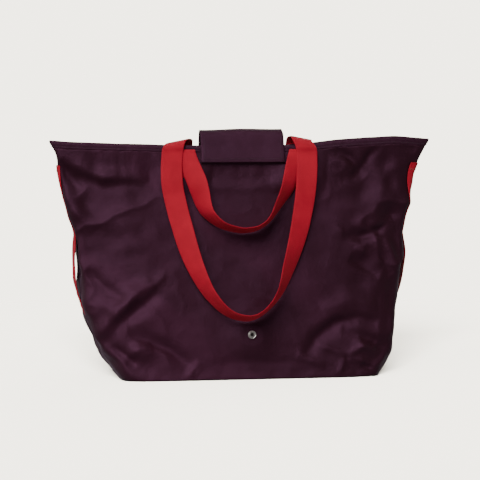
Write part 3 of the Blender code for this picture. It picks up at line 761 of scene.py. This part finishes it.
def metal(name, colour, roughness=0.22):
    """Plated metal with fine scratches and slightly cloudy plating."""
    mat, shader, place = new_material(name, Metallic=1.0)[:3]
    cloud = place.noise(160.0, 4.0, 0.6)
    scratches = place.node("ShaderNodeVectorMath", {0: place, 1: (1.0, 1.0, 14.0)},
                           operation="MULTIPLY").noise(700.0, 2.0)
    wire(shader, "Base Color", cloud.mix((*[c * 0.75 for c in colour], 1), (*colour, 1)))
    wire(shader, "Roughness", roughness + 0.18 * scratches.ramp(0.4, 0.75) + 0.06 * cloud)
    wire(shader, "Normal", scratches.bump(0.00004))
    return mat


nickel = metal("nickel", (0.66, 0.64, 0.61))
tape_weave = webbed("zip_tape_weave", (0.012, 0.004, 0.007), (0.026, 0.009, 0.015), 0.0011, 0.00008, 0.0009,
                    0.7, 0.1)
coil_nylon, coil_shader, coil_place = new_material("coil_nylon", Roughness=0.38, Specular_IOR_Level=0.5)[:3]
coil_shade = coil_place.noise(400.0, 2.0).mix((0.014, 0.005, 0.008, 1), (0.030, 0.011, 0.018, 1))
wire(coil_shader, "Base Color", coil_shade)

tape_low, tape_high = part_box("zip_tape_front")
coil_low, coil_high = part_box("zip_coil_front")
ZIP_Z = (tape_low[2] + tape_high[2]) / 2
for row_name, side in (("front", 1), ("back", -1)):
    stations = np.linspace(tape_low[0], tape_high[0], 240)
    edge = np.array([np.interp(x, *section(ZIP_Z, side, 400, widen=-HEM_THICKNESS - 0.0004)[0].T)
                     for x in stations])
    rows = []
    for share in np.linspace(0, 1, 7):
        y = edge * (1 - share) - side * 0.0026 * share
        dip = -0.0006 * math.sin(share * math.pi) + 0.0003 * np.sin(stations * 260 + share)
        rows.append(np.column_stack([stations, y, ZIP_Z + 0.0003 + dip]))
    tape = cloth_sheet(f"zip_tape_{row_name}_woven", np.array(rows), 0.0006, tape_weave,
                       np.array(rows)[:, :, :2], flip=side < 0)
    attached(tape, "bag", "shell_fabric", f"zip_tape_{row_name}")
    turns = np.arange(coil_low[0], coil_high[0], 0.00012)
    spin = (turns - coil_low[0]) / 0.0012 * math.tau
    coil_line = np.column_stack([turns, -side * (0.00135 + 0.00085 * np.cos(spin)),
                                 (coil_low[2] + coil_high[2]) / 2 + 0.0008 * np.sin(spin)])
    coil_mesh = bpy.data.curves.new(f"zip_coil_{row_name}_turns", "CURVE")
    coil_mesh.dimensions = "3D"
    spline = coil_mesh.splines.new("POLY")
    spline.points.add(len(coil_line) - 1)
    spline.points.foreach_set("co", np.column_stack([coil_line, np.ones(len(coil_line))]).ravel())
    coil_mesh.bevel_depth = 0.00028
    coil_mesh.bevel_resolution = 0
    coil_curve = linked(f"zip_coil_{row_name}_curve", coil_mesh)
    coil_solid = bpy.data.meshes.new_from_object(coil_curve)
    bpy.data.objects.remove(coil_curve)
    coil_solid.materials.clear()
    coil_solid.materials.append(coil_nylon)
    coil_solid.shade_smooth()
    coil = linked(f"zip_coil_{row_name}_turns", coil_solid)
    attached(coil, "bag", "zip_coil", f"zip_coil_{row_name}")


def folded_tab(name, low, high):
    """Cloth tab folded over the end of the zip: a soft rounded pad."""
    low = np.array(low)
    high = np.array(high)
    pad = bmesh.new()
    bmesh.ops.create_cube(pad, size=1.0)
    bmesh.ops.scale(pad, vec=tuple(high - low), verts=pad.verts)
    bmesh.ops.translate(pad, vec=tuple((low + high) / 2), verts=pad.verts)
    bmesh.ops.bevel(pad, geom=pad.edges[:], offset=0.0009, segments=3, profile=0.6, affect="EDGES")
    obj = poured(name, pad, hem_cloth)
    obj.data.shade_smooth()
    return obj


for end_name in ("left", "right"):
    low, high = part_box(f"zip_tab_{end_name}")
    tab = folded_tab(f"zip_tab_{end_name}_cloth", low, high)
    attached(tab, "bag", "shell_fabric", f"zip_tab_{end_name}")


# ---------------------------------------------------------------------------------------------
# Handles. Red polypropylene webbing, 35 mm wide. Each end is sewn flat to its panel with a boxed
# cross, then turns down over the stitching; the loops hang in front and turn edge-on below.
# ---------------------------------------------------------------------------------------------
webbing_red = webbed("webbing_red", (0.31, 0.0078, 0.019), (0.56, 0.014, 0.036), 0.0022, 0.00022, 0.0019)
WEBBING_WIDTH = 0.0345
WEBBING_THICKNESS = 0.0018


def eased_path(points, spacing, measured=3):
    """Rounded path through the points, evenly spaced by its first few coordinates."""
    points = np.array(points, float)
    ends = np.concatenate([[2 * points[0] - points[1]], points, [2 * points[-1] - points[-2]]])
    fine = []
    for a, b, c, d in zip(ends, ends[1:], ends[2:], ends[3:]):
        for t in np.linspace(0, 1, 24, endpoint=False):
            fine.append(0.5 * (2 * b + (c - a) * t + (2 * a - 5 * b + 4 * c - d) * t * t
                               + (3 * b - a - 3 * c + d) * t ** 3))
    fine = np.array(fine + [points[-1]])
    along = lengths_along(fine[:, :measured])
    at = np.linspace(0, along[-1], max(2, round(along[-1] / spacing)))
    return np.stack([np.interp(at, along, fine[:, k]) for k in range(fine.shape[1])], axis=1)


HALF_ACROSS = np.array([0.2, 0.45, 0.7, 0.88, 0.95, 0.985, 1.0])
ACROSS = np.concatenate([-HALF_ACROSS[::-1], [0.0], HALF_ACROSS])
EDGE = np.array([0.05, 0.55, 0.85] + [1.0] * 9 + [0.85, 0.55, 0.05])


def woven_strap(name, middle, thickness, mat):
    """Closed webbing around a grid of middle points (stations x points across), selvedges rounded."""
    normal = grid_normals(middle)
    lift = normal * (EDGE * thickness / 2)[None, :, None]
    stations, across = middle.shape[:2]
    top = middle + lift
    bottom = (middle - lift)[:, ::-1]
    rings = np.concatenate([top, bottom], axis=1)
    around = rings.shape[1]
    faces = tube_faces(stations, around)
    faces.append(tuple(range(around))[::-1])
    faces.append(tuple(range((stations - 1) * around, stations * around)))
    width = np.linalg.norm(np.diff(middle, axis=1), axis=2).sum(axis=1).mean()
    run = lengths_along(middle[:, across // 2])
    ring_u = np.concatenate([ACROSS, ACROSS[::-1]]) * width / 2
    uv = np.array([[(u, v) for u in ring_u] for v in run]).reshape(-1, 2)
    strap = mesh_object(name, rings.reshape(-1, 3), faces, mat, uv)
    strap.data.set_sharp_from_angle(angle=math.radians(50))
    return strap


def blurred_line(values, times):
    out = np.array(values, float)
    for _ in range(times):
        out[1:-1] = out[1:-1] * 0.5 + (out[:-2] + out[2:]) * 0.25
    return out


def hanging_rows(keys, stand_off, flare, spacing=0.0032):
    """Middle points of the free loop, station by station.

    keys are (x, z, turn in degrees): the width's direction turns from along X on the left leg (0)
    through edge-on at the lowest point (90) to along X again on the right leg (180).
    """
    path = eased_path(keys, spacing, 2)
    turn = np.radians(path[:, 2])
    out = WEBBING_WIDTH / 2 * np.sin(turn)
    depth = blurred_line([face_y(x, z) for x, z in path[:, :2]], 8) - stand_off - out
    centres = np.column_stack([path[:, 0], depth, path[:, 1]])
    across = np.stack([np.cos(turn), -np.sin(turn), flare * np.sin(turn)], axis=1)
    across /= np.linalg.norm(across, axis=1)[:, None]
    return centres, across


def strap_from_rows(name, centres, across, mat, width=WEBBING_WIDTH):
    centres = np.array(centres, float)
    across = np.array(across, float)
    across /= np.linalg.norm(across, axis=1)[:, None]
    middle = centres[:, None] + across[:, None] * (ACROSS[:, None] * width / 2)
    return woven_strap(name, middle, WEBBING_THICKNESS, mat)


def boxed_cross(x0, x1, z0, z1, depth, side):
    """Thread paths of a box with a cross in it, on the panel's face; depth is how far out it lies."""
    corners = [(x0, z0), (x1, z0), (x1, z1), (x0, z1), (x0, z0), (x1, z1), (x1, z0), (x0, z1)]
    path = []
    for (xa, za), (xb, zb) in zip(corners, corners[1:]):
        for t in np.linspace(0, 1, 12, endpoint=False):
            x = xa + (xb - xa) * t
            z = za + (zb - za) * t
            path.append((x, face_y(x, z, side) - side * depth, z))
    return path


STUB_LOW = 0.319
FOLD_HEIGHT = 0.3600
STRAP_LIFT = 0.0013
BOX_HALF = 0.0145
SHORT_LOOP = [(-0.0945, 0.3600, 0), (-0.0900, 0.3440, 8), (-0.0800, 0.3189, 22), (-0.0735, 0.2962, 38),
              (-0.0675, 0.2736, 55), (-0.0590, 0.2590, 68), (-0.0400, 0.2440, 80), (-0.0150, 0.2365, 87),
              (0.0000, 0.2360, 90), (0.0190, 0.2400, 93), (0.0370, 0.2530, 101), (0.0540, 0.2780, 118),
              (0.0655, 0.2962, 132), (0.0765, 0.3205, 150), (0.0860, 0.3440, 168), (0.0925, 0.3600, 180)]
centres, across = hanging_rows(SHORT_LOOP, 0.0044, 0.30)
front_rows = list(centres)
front_across = list(across)
for end_name, hand in (("left", -1), ("right", 1)):
    top = front_rows[0] if hand < 0 else front_rows[-1]
    stub = [(hand * STUB_X, face_y(hand * STUB_X, z) - STRAP_LIFT, z) for z in np.linspace(STUB_LOW, FOLD_HEIGHT, 14)]
    sewn_end = strap_from_rows(f"front_handle_end_{end_name}_webbing", stub, [(1, 0, 0)] * len(stub),
                               webbing_red)
    attached(sewn_end, "bag", "webbing", f"front_handle_end_{end_name}")
    last = np.array(stub[-1])
    over = [last]
    for angle in np.linspace(0, math.pi, 9)[1:-1]:
        share = (1 - math.cos(angle)) / 2
        over.append(last + (top - last) * share + np.array([0, 0, 0.0030 * math.sin(angle)]))
    if hand < 0:
        front_rows = over + front_rows
        front_across = [(1, 0, 0)] * len(over) + front_across
    else:
        front_rows += over[::-1]
        front_across += [(-1, 0, 0)] * len(over)
front_handle = strap_from_rows("front_handle_webbing", front_rows, front_across, webbing_red)
fold_y = face_y(STUB_X, 0.357) - STRAP_LIFT
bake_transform(front_handle)
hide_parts("front_handle")

LONG_LOOP = [(-0.1150, 0.3600, 0), (-0.1172, 0.3368, 2), (-0.1172, 0.3075, 6), (-0.1110, 0.2721, 12),
             (-0.1035, 0.2401, 20), (-0.0955, 0.2085, 31), (-0.0850, 0.1770, 46), (-0.0705, 0.1458, 62),
             (-0.0570, 0.1266, 72), (-0.0440, 0.1130, 78), (-0.0300, 0.1040, 84), (-0.0150, 0.0995, 88),
             (0.0000, 0.0990, 90), (0.0150, 0.1045, 93), (0.0290, 0.1150, 98), (0.0415, 0.1290, 106),
             (0.0520, 0.1460, 116), (0.0635, 0.1740, 132), (0.0755, 0.2046, 146), (0.0858, 0.2352, 158),
             (0.0935, 0.2661, 166), (0.0990, 0.2962, 172), (0.1030, 0.3287, 177), (0.1045, 0.3600, 180)]
centres, across = hanging_rows(LONG_LOOP, 0.0072, 0.36)
back_rows = []
back_across = []
for hand, rise in ((-1, 0.0052), (1, 0.0090)):
    top = centres[0] if hand < 0 else centres[-1]
    stub = []
    for z in np.linspace(STUB_LOW, 0.366, 15):
        stub.append((hand * STUB_X, face_y(hand * STUB_X, min(z, SHELL_TOP - 0.001), -1) + 0.0015
                     + 0.0012 * max(0.0, (z - 0.358) / 0.008), z))
    behind = stub[-1][1]
    lip = BAG_HEIGHT + rise
    over = eased_path([stub[-1], (hand * STUB_X, behind - 0.0002, BAG_HEIGHT + 0.001),
                       (hand * (STUB_X + 0.001), behind * 0.55, lip - 0.0008),
                       (hand * (STUB_X + 0.006), 0.0, lip),
                       (hand * (abs(top[0]) - 0.007), top[1] * 0.55, lip - 0.0018),
                       (hand * (abs(top[0]) - 0.002), top[1] + 0.0006, BAG_HEIGHT - 0.003), tuple(top)],
                      0.0028)
    over = over[1:-1]
    tilt = np.sin(np.linspace(0, math.pi, len(over))) * 0.20
    rows = [np.array(p) for p in stub] + list(over)
    turned = [(-hand, 0.0, 0.0)] * len(stub) + [(-hand, 0.0, t) for t in tilt]
    if hand < 0:
        back_rows = rows + list(centres)
        back_across = turned + list(across)
    else:
        back_rows += rows[::-1]
        back_across += turned[::-1]
back_handle = strap_from_rows("back_handle_webbing", back_rows, back_across, webbing_red)
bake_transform(back_handle)
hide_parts("back_handle", "back_handle_end_left", "back_handle_end_right")

for face_name, side in (("front", 1), ("back", -1)):
    boxes = [boxed_cross(hand * STUB_X - BOX_HALF, hand * STUB_X + BOX_HALF, STUB_LOW + 0.003, 0.354, 0.0023, side)
             for hand in (-1, 1)]
    sewn = stitches(f"{face_name}_handle_stitches", boxes, red_thread, 0.0030, 0.0022, 0.00030)
    attached(sewn, "bag", "webbing")


# ---------------------------------------------------------------------------------------------
# Side straps. Narrower red webbing runs down over each side seam; it is stitched flat above and
# below, and held off the bag between two bar tacks as a loop.
# ---------------------------------------------------------------------------------------------
SIDE_WIDTH = 0.025
STRAP_LOW, STRAP_OPEN, STRAP_TACK, STRAP_TOP = 0.072, 0.124, 0.226, 0.336
STRAP_STANDOFF = 0.0064
for side_name, hand in (("left", -1), ("right", 1)):
    rows = []
    outs = []
    for r in range(PANEL_ROWS):
        z = surface[1][r, PANEL_COLUMNS // 2, 2]
        if not STRAP_LOW <= z <= STRAP_TOP:
            continue
        line = np.concatenate([near_seam(-1, r, hand, 10)[::-1], near_seam(1, r, hand, 10)])
        steps = np.linalg.norm(np.diff(line, axis=0), axis=1)
        along = np.concatenate([[0], np.cumsum(steps)]) - steps[:9].sum() - steps[9] / 2
        rearward = 0.0075 * min(max((z - 0.250) / 0.040, 0.0), 1.0) if hand < 0 else -0.0020
        at = ACROSS * SIDE_WIDTH / 2 * (1 if hand < 0 else -1) - rearward
        row = np.stack([np.interp(at, along, line[:, k]) for k in range(3)], axis=1)
        share = min(max((z - STRAP_OPEN) / (STRAP_TACK - STRAP_OPEN), 0.0), 1.0)
        rows.append(row)
        outs.append(STRAP_STANDOFF * math.sin(math.pi * share) ** 0.7)
    grid = np.array(rows)
    for _ in range(3):
        grid[1:-1] = grid[1:-1] * 0.5 + (grid[:-2] + grid[2:]) * 0.25
    normal = grid_normals(grid)
    normal *= np.sign(hand * normal[:, 7:8, :1])
    flat = np.array(outs)[:, None] / STRAP_STANDOFF
    straight = np.broadcast_to(grid[:, 7:8, :2], grid[:, :, :2].shape)
    grid[:, :, 0] = grid[:, :, 0] * (1 - 0.5 * flat) + straight[:, :, 0] * 0.5 * flat
    middle = grid + normal * STRAP_LIFT
    middle[:, :, 0] += hand * np.array(outs)[:, None]
    strap = woven_strap(f"{side_name}_side_webbing", middle, WEBBING_THICKNESS * 0.9, webbing_red)
    if hand * strap.data.polygons[7].normal.x < 0:
        strap.data.flip_normals()
    attached(strap, "bag", "webbing", f"{side_name}_side_strap")
    heights = middle[:, 7, 2]
    tacks = []
    for height in (STRAP_LOW + 0.003, STRAP_OPEN - 0.002, STRAP_TACK + 0.002, STRAP_TOP - 0.006):
        path = []
        for k in range(41):
            share = -0.84 + 1.68 * k / 40
            r = int(np.argmin(np.abs(heights - height)))
            point = np.array([np.interp(share, ACROSS, middle[r, :, n]) for n in range(3)])
            normal_here = np.array([np.interp(share, ACROSS, normal[r, :, n]) for n in range(3)])
            path.append(point + normal_here * 0.0010 + [0, 0, 0.0011 * (-1) ** k])
        tacks.append(path)
    sewn = stitches(f"{side_name}_bar_tacks", tacks, red_thread, 0.0011, 0.0016, 0.00032)
    attached(sewn, "bag", "webbing")


# ---------------------------------------------------------------------------------------------
# Flap. A doubled piece of the shell cloth is sewn to the back, stands up over the closed top and
# hangs a little way down the front; it is topstitched near its edges and carries the stud's socket.
# ---------------------------------------------------------------------------------------------
flap_cloth = nylon("flap_nylon", (0.019, 0.0044, 0.0086), (0.028, 0.0068, 0.0132), crush=0.5)
FLAP_WIDTH = 0.136
FLAP_PATH = [(0.0236, 0.332), (0.0192, 0.346), (0.0158, 0.357), (0.0135, 0.366), (0.0118, 0.374),
             (0.0105, 0.382), (0.0080, 0.3895), (0.0043, 0.3945), (0.0002, 0.3962), (-0.0042, 0.3948),
             (-0.0086, 0.3900), (-0.0118, 0.3810), (-0.0150, 0.3690), (-0.0186, 0.3580),
             (-0.0212, 0.3500), (-0.0228, 0.3432)]
flap_line = eased_path(FLAP_PATH, 0.0011)
flap_line[:, 0] += np.interp(flap_line[:, 1], [0.33, 0.372], [0.0008, 0.0]) * (flap_line[:, 0] > 0)
FLAP_COLUMNS = 96
flap_rows = []
for y, z in flap_line:
    half = FLAP_WIDTH / 2 + (0.0006 if z < 0.35 and y < 0 else 0.0)
    xs = np.linspace(-half, half, FLAP_COLUMNS)
    top_pull = 0.0007 * np.cos(xs / half * math.pi * 1.2) * max(0.0, (z - 0.372) / 0.025)
    corner = max(0.0, (z - 0.388) / 0.008)
    xs = xs - np.clip(xs - (half - 0.006), 0, 1) * 0.35 * corner
    slant = xs * 0.010 * (z > 0.38) * corner
    flap_rows.append(np.column_stack([xs, np.full_like(xs, y), z + top_pull + slant]))
flap_grid = np.array(flap_rows)
rippled = ripples(flap_grid * [1, 0.4, 1], 0.06, 61)
share_front = np.clip((-flap_grid[:, :, 1] - 0.004) / 0.012, 0, 1)
flap_grid[:, :, 1] -= 0.0006 * rippled * share_front
rim = np.minimum(1.0, (FLAP_WIDTH / 2 - np.abs(flap_grid[:, :, 0])) / 0.0045)
flap_grid[:, :, 1] -= 0.0005 * rim * share_front
run = lengths_along(flap_line)
flap_uv = np.stack([flap_grid[:, :, 0], np.repeat(run[:, None], FLAP_COLUMNS, axis=1)], axis=2)
flap = cloth_sheet("flap_cloth", flap_grid, 0.0018, flap_cloth, flap_uv, flip=True)
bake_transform(flap)
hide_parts("flap_back", "flap_outer", "flap_lining")

inset = 0.0055
front_part = [i for i in range(len(flap_line)) if flap_line[i, 0] < -0.0115]
low_row = [i for i in front_part if run[-1] - run[i] > inset][-1]
columns = [int(np.argmin(np.abs(flap_grid[0, :, 0] - hand * (FLAP_WIDTH / 2 - inset)))) for hand in (-1, 1)]
out = np.array([0, -0.00012, 0.00003])
edge_path = [flap_grid[i, columns[0]] + out for i in front_part if i <= low_row]
edge_path += [flap_grid[low_row, c] + out for c in range(columns[0], columns[1] + 1)]
edge_path += [flap_grid[i, columns[1]] + out for i in front_part[::-1] if i <= low_row]
flap_sewn = stitches("flap_stitches", [edge_path], dark_thread, 0.0030, 0.0022, 0.00026)
attached(flap_sewn, "flap", "shell_fabric")
back_stitch_row = int(np.argmin(np.abs(run - 0.004)))
back_path = [flap_grid[back_stitch_row, c] + [0, 0.00012, 0] for c in range(3, FLAP_COLUMNS - 3)]
back_sewn = stitches("flap_back_stitches", [back_path], dark_thread, 0.0030, 0.0022, 0.00026)
attached(back_sewn, "bag", "shell_fabric")


# ---------------------------------------------------------------------------------------------
# Press stud. A small nickel-plated ring stud is riveted through the front near the base; its
# socket is set in the flap's lining, hidden from the front.
# ---------------------------------------------------------------------------------------------
def lathe(name, profile, centre, axis, mat, sides=56):
    """Body turned about an axis from (radius, distance) pairs, closed on the axis at both ends."""
    axis = np.array(axis, float) / np.linalg.norm(axis)
    across = np.cross(axis, [1.0, 0.0, 0.0])
    across /= np.linalg.norm(across)
    third = np.cross(axis, across)
    points = []
    for radius, along in profile:
        for i in range(sides):
            angle = math.tau * i / sides
            offset = (math.cos(angle) * across + math.sin(angle) * third) * max(radius, 1e-6)
            points.append(np.array(centre) + axis * along + offset)
    obj = mesh_object(name, points, tube_faces(len(profile), sides), mat)
    shape = bmesh.new()
    shape.from_mesh(obj.data)
    bmesh.ops.remove_doubles(shape, verts=shape.verts, dist=5e-6)
    bmesh.ops.recalc_face_normals(shape, faces=shape.faces)
    if shape.calc_volume(signed=True) < 0:
        bmesh.ops.reverse_faces(shape, faces=shape.faces)
    shape.to_mesh(obj.data)
    shape.free()
    obj.data.set_sharp_from_angle(angle=math.radians(48))
    return obj


slope = (face_y(0, STUD_HEIGHT - 0.006) - face_y(0, STUD_HEIGHT + 0.006)) / 0.012
stud_axis = (0, -1.0, -slope)
stud_place = (0.003, face_y(0.003, STUD_HEIGHT) - 0.0002, STUD_HEIGHT)
STUD_PROFILE = [(0, -0.0001), (0.0022, -0.0001), (0.0025, 0.0004),
                (0.0029, 0.0030), (0.0033, 0.0036), (0.0038, 0.0036), (0.0042, 0.0031), (0.0043, 0.0017),
                (0.0047, 0.0012), (0.0054, 0.0012), (0.0060, 0.0015), (0.0064, 0.0013), (0.0067, 0.0007),
                (0.0065, 0.0001), (0.0030, -0.0004), (0, -0.0004)]
stud = lathe("snap_stud_turned", STUD_PROFILE, stud_place, stud_axis, nickel)
stud.data.materials.append(metal("tarnished_hollow", (0.045, 0.038, 0.040), 0.5))
for face in stud.data.polygons:
    if (face.center - Vector(stud_place)).length < 0.0024:
        face.material_index = 1
attached(stud, "bag", "steel", "snap_stud")
socket_low, socket_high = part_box("flap_socket")
socket_row = int(np.argmin(np.abs(flap_grid[:, 48, 2] - (socket_low[2] + socket_high[2]) / 2)
                           + (flap_grid[:, 48, 1] > 0)))
socket_at = flap_grid[socket_row, 48] + np.array([0, 0.0019, -0.0003])
SOCKET_PROFILE = [(0, 0.0), (0.0058, 0.0), (0.0061, 0.0003), (0.0058, 0.0008), (0.0046, 0.0010),
                  (0.0040, 0.0020), (0.0034, 0.0020), (0.0031, 0.0009), (0, 0.0007)]
socket = lathe("flap_socket_turned", SOCKET_PROFILE, socket_at, (0.0, 1.0, -0.307), nickel)
attached(socket, "flap", "steel", "flap_socket")


# ---------------------------------------------------------------------------------------------
# Slider and puller. The slider is two nickel plates on a neck, and its puller a flat plate with a
# slot; both are die cast and tumbled, so every corner is round.
# ---------------------------------------------------------------------------------------------
def cast_plate(name, outline, z0, z1, mat, round_off):
    """Flat casting with an outline in X and Y and rounded corners."""
    shape = bmesh.new()
    corners = [shape.verts.new((x, y, z0)) for x, y in outline]
    face = shape.faces.new(corners)
    grown = bmesh.ops.extrude_face_region(shape, geom=[face])
    moved = [v for v in grown["geom"] if isinstance(v, bmesh.types.BMVert)]
    bmesh.ops.translate(shape, verts=moved, vec=(0, 0, z1 - z0))
    bmesh.ops.recalc_face_normals(shape, faces=shape.faces)
    bmesh.ops.bevel(shape, geom=shape.edges[:], offset=round_off, segments=3, profile=0.5, affect="EDGES")
    obj = poured(name, shape, mat)
    obj.data.shade_smooth()
    return obj


def joined(name, pieces):
    """One mesh object out of several."""
    shape = bmesh.new()
    for piece in pieces:
        shape.from_mesh(piece.data)
    obj = poured(name, shape, pieces[0].data.materials[0])
    for piece in pieces:
        bpy.data.objects.remove(piece)
    return obj


def both_halves(half):
    """Whole outline from its half above the X axis."""
    return [(x, -y) for x, y in half] + half[::-1]


slider_low, slider_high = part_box("zip_slider")
x0, x1 = slider_low[0], slider_high[0]
shape_plan = both_halves([(x0, 0.0024), (x0 + 0.0035, 0.0035), (x1 - 0.0022, 0.0035), (x1, 0.0020)])
upper = cast_plate("upper", shape_plan, slider_high[2] - 0.0009, slider_high[2], nickel, 0.0003)
lower = cast_plate("lower", shape_plan, slider_low[2], slider_low[2] + 0.0009, nickel, 0.0003)
web = both_halves([(x1 - 0.0060, 0.00016), (x1 - 0.0008, 0.00016)])
neck = cast_plate("neck", web, slider_low[2] + 0.0008, slider_high[2] - 0.0008, nickel, 0.00003)
slider = joined("zip_slider_cast", [upper, lower, neck])
attached(slider, "zip_slider", "steel", "zip_slider")
pull_low, pull_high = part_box("zip_puller")
px0, px1 = pull_low[0], pull_high[0]
pull_plan = both_halves([(px0, 0.0018), (px0 + 0.004, 0.0020), (px0 + 0.014, 0.0030), (px1 - 0.0035, 0.0030),
                         (px1, 0.0014)])
puller = cast_plate("zip_puller_cast", pull_plan, pull_low[2], pull_high[2], nickel, 0.0004)
attached(puller, "zip_puller", "steel", "zip_puller")


# ---------------------------------------------------------------------------------------------
# Inside. Binding tape covers the raw edges of the seams, small patches back the handles and the
# stud, and a slip pocket with its own hem hangs on the back; all show only with the zip open.
# ---------------------------------------------------------------------------------------------
inner_cloth = nylon("inner_nylon", (0.014, 0.0040, 0.0070), (0.022, 0.0062, 0.0110), crush=0.5)


def inner_strip(name, side, rows, columns, gap, thickness, mat):
    """Cloth strip lying just inside a stretch of a panel."""
    grid = surface[side][rows[0]:rows[1], columns[0]:columns[1]].copy()
    normal = grid_normals(grid) * side
    grid = grid - normal * gap
    uv = grid[:, :, [0, 2]]
    return cloth_sheet(name, grid, thickness, mat, uv, flip=side < 0)


def row_at(height):
    return int(np.argmin(np.abs(surface[1][:, PANEL_COLUMNS // 2, 2] - height)))


for side_name, hand in (("left", -1), ("right", 1)):
    rows = []
    for r in range(row_at(0.014), row_at(0.275)):
        front = near_seam(1, r, hand, 3)
        back = near_seam(-1, r, hand, 3)
        seam = (front[0] + back[0]) / 2
        rows.append([seam + ((back if t < 0 else front)[2] - seam) * abs(t) - np.array([hand * 0.0022, 0, 0])
                     for t in np.linspace(-1, 1, 7)])
    grid = np.array(rows)
    tape = cloth_sheet(f"{side_name}_seam_tape_woven", grid, 0.0007, tape_weave, grid[:, :, 1:], flip=hand > 0)
    attached(tape, "bag", "inner_fabric", f"{side_name}_seam_tape")
for piece, low, high, gap, thickness in (("inner_pocket", 0.170, 0.318, 0.0045, 0.0009),
                                         ("inner_pocket_hem", 0.319, 0.330, 0.0040, 0.0018)):
    strip = inner_strip(f"{piece}_cloth", -1, (row_at(low), row_at(high)), (88, 156), gap, thickness,
                        inner_cloth)
    attached(strip, "bag", "inner_fabric", piece)
base_rows = []
for height, inset in ((SHELL_BOTTOM + 0.0003, 0.0022), (0.006, 0.0024), (0.0115, 0.0022)):
    r = row_at(height)
    ring = np.concatenate([surface[1][r], surface[-1][r][-2:0:-1]])
    ring = ring * [1 - inset / 0.2, 1 - inset / 0.095, 0] + [0, 0, height]
    base_rows.append(np.concatenate([ring, ring[:1]]))
base_tape = cloth_sheet("base_seam_tape_woven", np.array(base_rows), 0.0006, tape_weave,
                        np.array(base_rows)[:, :, :2])
attached(base_tape, "bag", "inner_fabric", "base_seam_tape")
for node_name, mat in (("front_handle_patch_left", inner_cloth), ("front_handle_patch_right", inner_cloth),
                       ("back_handle_patch_left", inner_cloth), ("back_handle_patch_right", inner_cloth),
                       ("stud_patch", inner_cloth), ("snap_stud_rivet", nickel)):
    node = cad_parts[node_name]
    for k in range(len(node.material_slots)):
        node.material_slots[k].material = mat


# ---------------------------------------------------------------------------------------------
# Stage: a pale floor that fades into an evenly pale surround, a light for the floor alone so that
# the bag's soft shadow shows on it, a broad soft light on the bag, its dimmer surroundings, the camera.
# ---------------------------------------------------------------------------------------------
PAPER = (1.0, 0.945, 0.810)
PAPER_GLOW = 4.5
dome_mat, dome_shader = new_material("surround", Roughness=1.0, Specular_IOR_Level=0.0)[:2]
dome_shader.inputs["Base Color"].default_value = (0, 0, 0, 1)
dome_shader.inputs["Emission Color"].default_value = (*PAPER, 1)
dome_shader.inputs["Emission Strength"].default_value = PAPER_GLOW
round_room = bmesh.new()
bmesh.ops.create_icosphere(round_room, subdivisions=4, radius=7.0)
dome = poured("surround", round_room, dome_mat)
dome.visible_shadow = False
floor_mat, floor_shader, floor_place = new_material("paper", Roughness=0.9, Specular_IOR_Level=0.0)[:3]
grain = floor_place.noise(40.0, 3.0)
wire(floor_shader, "Base Color", grain.mix((*[c * 0.79 for c in PAPER], 1), (*[c * 0.80 for c in PAPER], 1)))
away = floor_place.node("ShaderNodeVectorMath", {0: floor_place}, output="Value", operation="LENGTH")
wire(floor_shader, "Alpha", 1.0 - away.ramp(0.70, 1.7))
floor = mesh_object("floor", [(-3, -3, -0.0002), (3, -3, -0.0002), (3, 3, -0.0002), (-3, 3, -0.0002)],
                    [(0, 1, 2, 3)], floor_mat)
for item in (dome, floor):
    item.visible_diffuse = False
    item.visible_glossy = False
    item.visible_transmission = False


def soft_sun(name, towards, strength, spread, colour):
    """Broad soft light from a far softbox; towards points from the bag to it."""
    light = bpy.data.lights.new(name, "SUN")
    light.energy = strength
    light.angle = math.radians(spread)
    light.color = colour
    obj = linked(name, light)
    x, y, z = towards
    obj.rotation_euler = (math.atan2(math.hypot(x, y), z), 0, math.atan2(y, x) + math.pi / 2)
    return obj


soft_sun("key", (-0.45, -0.75, 0.85), 2.9, 40, (1.0, 0.97, 0.96))
soft_sun("edge", (-0.9, 0.1, 0.35), 0.35, 30, (1.0, 0.97, 0.97))
soft_sun("behind", (0.35, 0.90, 0.55), 1.5, 60, (1.0, 0.98, 0.97))
lit_floor = bpy.data.collections.new("lit_floor")
lit_floor.objects.link(floor)
for light_name, towards, strength, spread in (("floor_front", (-0.25, -0.96, 0.45), 29.5, 24),
                                              ("floor_above", (0.0, 0.0, 1.0), 2.4, 120)):
    floor_light = soft_sun(light_name, towards, strength, spread, (1.0, 1.0, 1.0))
    floor_light.light_linking.receiver_collection = lit_floor

world = bpy.data.worlds.new("studio")
bpy.context.scene.world = world
world.use_nodes = True
tree = world.node_tree
direction = Field(tree, tree.nodes.new("ShaderNodeTexCoord").outputs["Generated"])
ceiling = direction.part("Z").ramp(0.10, 0.45)
ambient = ceiling.mix((0.37, 0.36, 0.355, 1), (0.19, 0.186, 0.186, 1))
tree.links.new(ambient.socket, tree.nodes["Background"].inputs["Color"])
tree.nodes["Background"].inputs["Strength"].default_value = 1.0

camera_data = bpy.data.cameras.new("camera")
camera_data.lens = 166.6
camera_data.sensor_width = 36
camera = linked("camera", camera_data)
yaw, rise, distance = math.radians(10), math.radians(3.7), 3.6
level = distance * math.cos(rise)
camera.location = (-0.0016 - level * math.sin(yaw), -level * math.cos(yaw), 0.2165 + distance * math.sin(rise))
camera.rotation_euler = (math.pi / 2 - rise, 0, -yaw)
bpy.context.scene.camera = camera
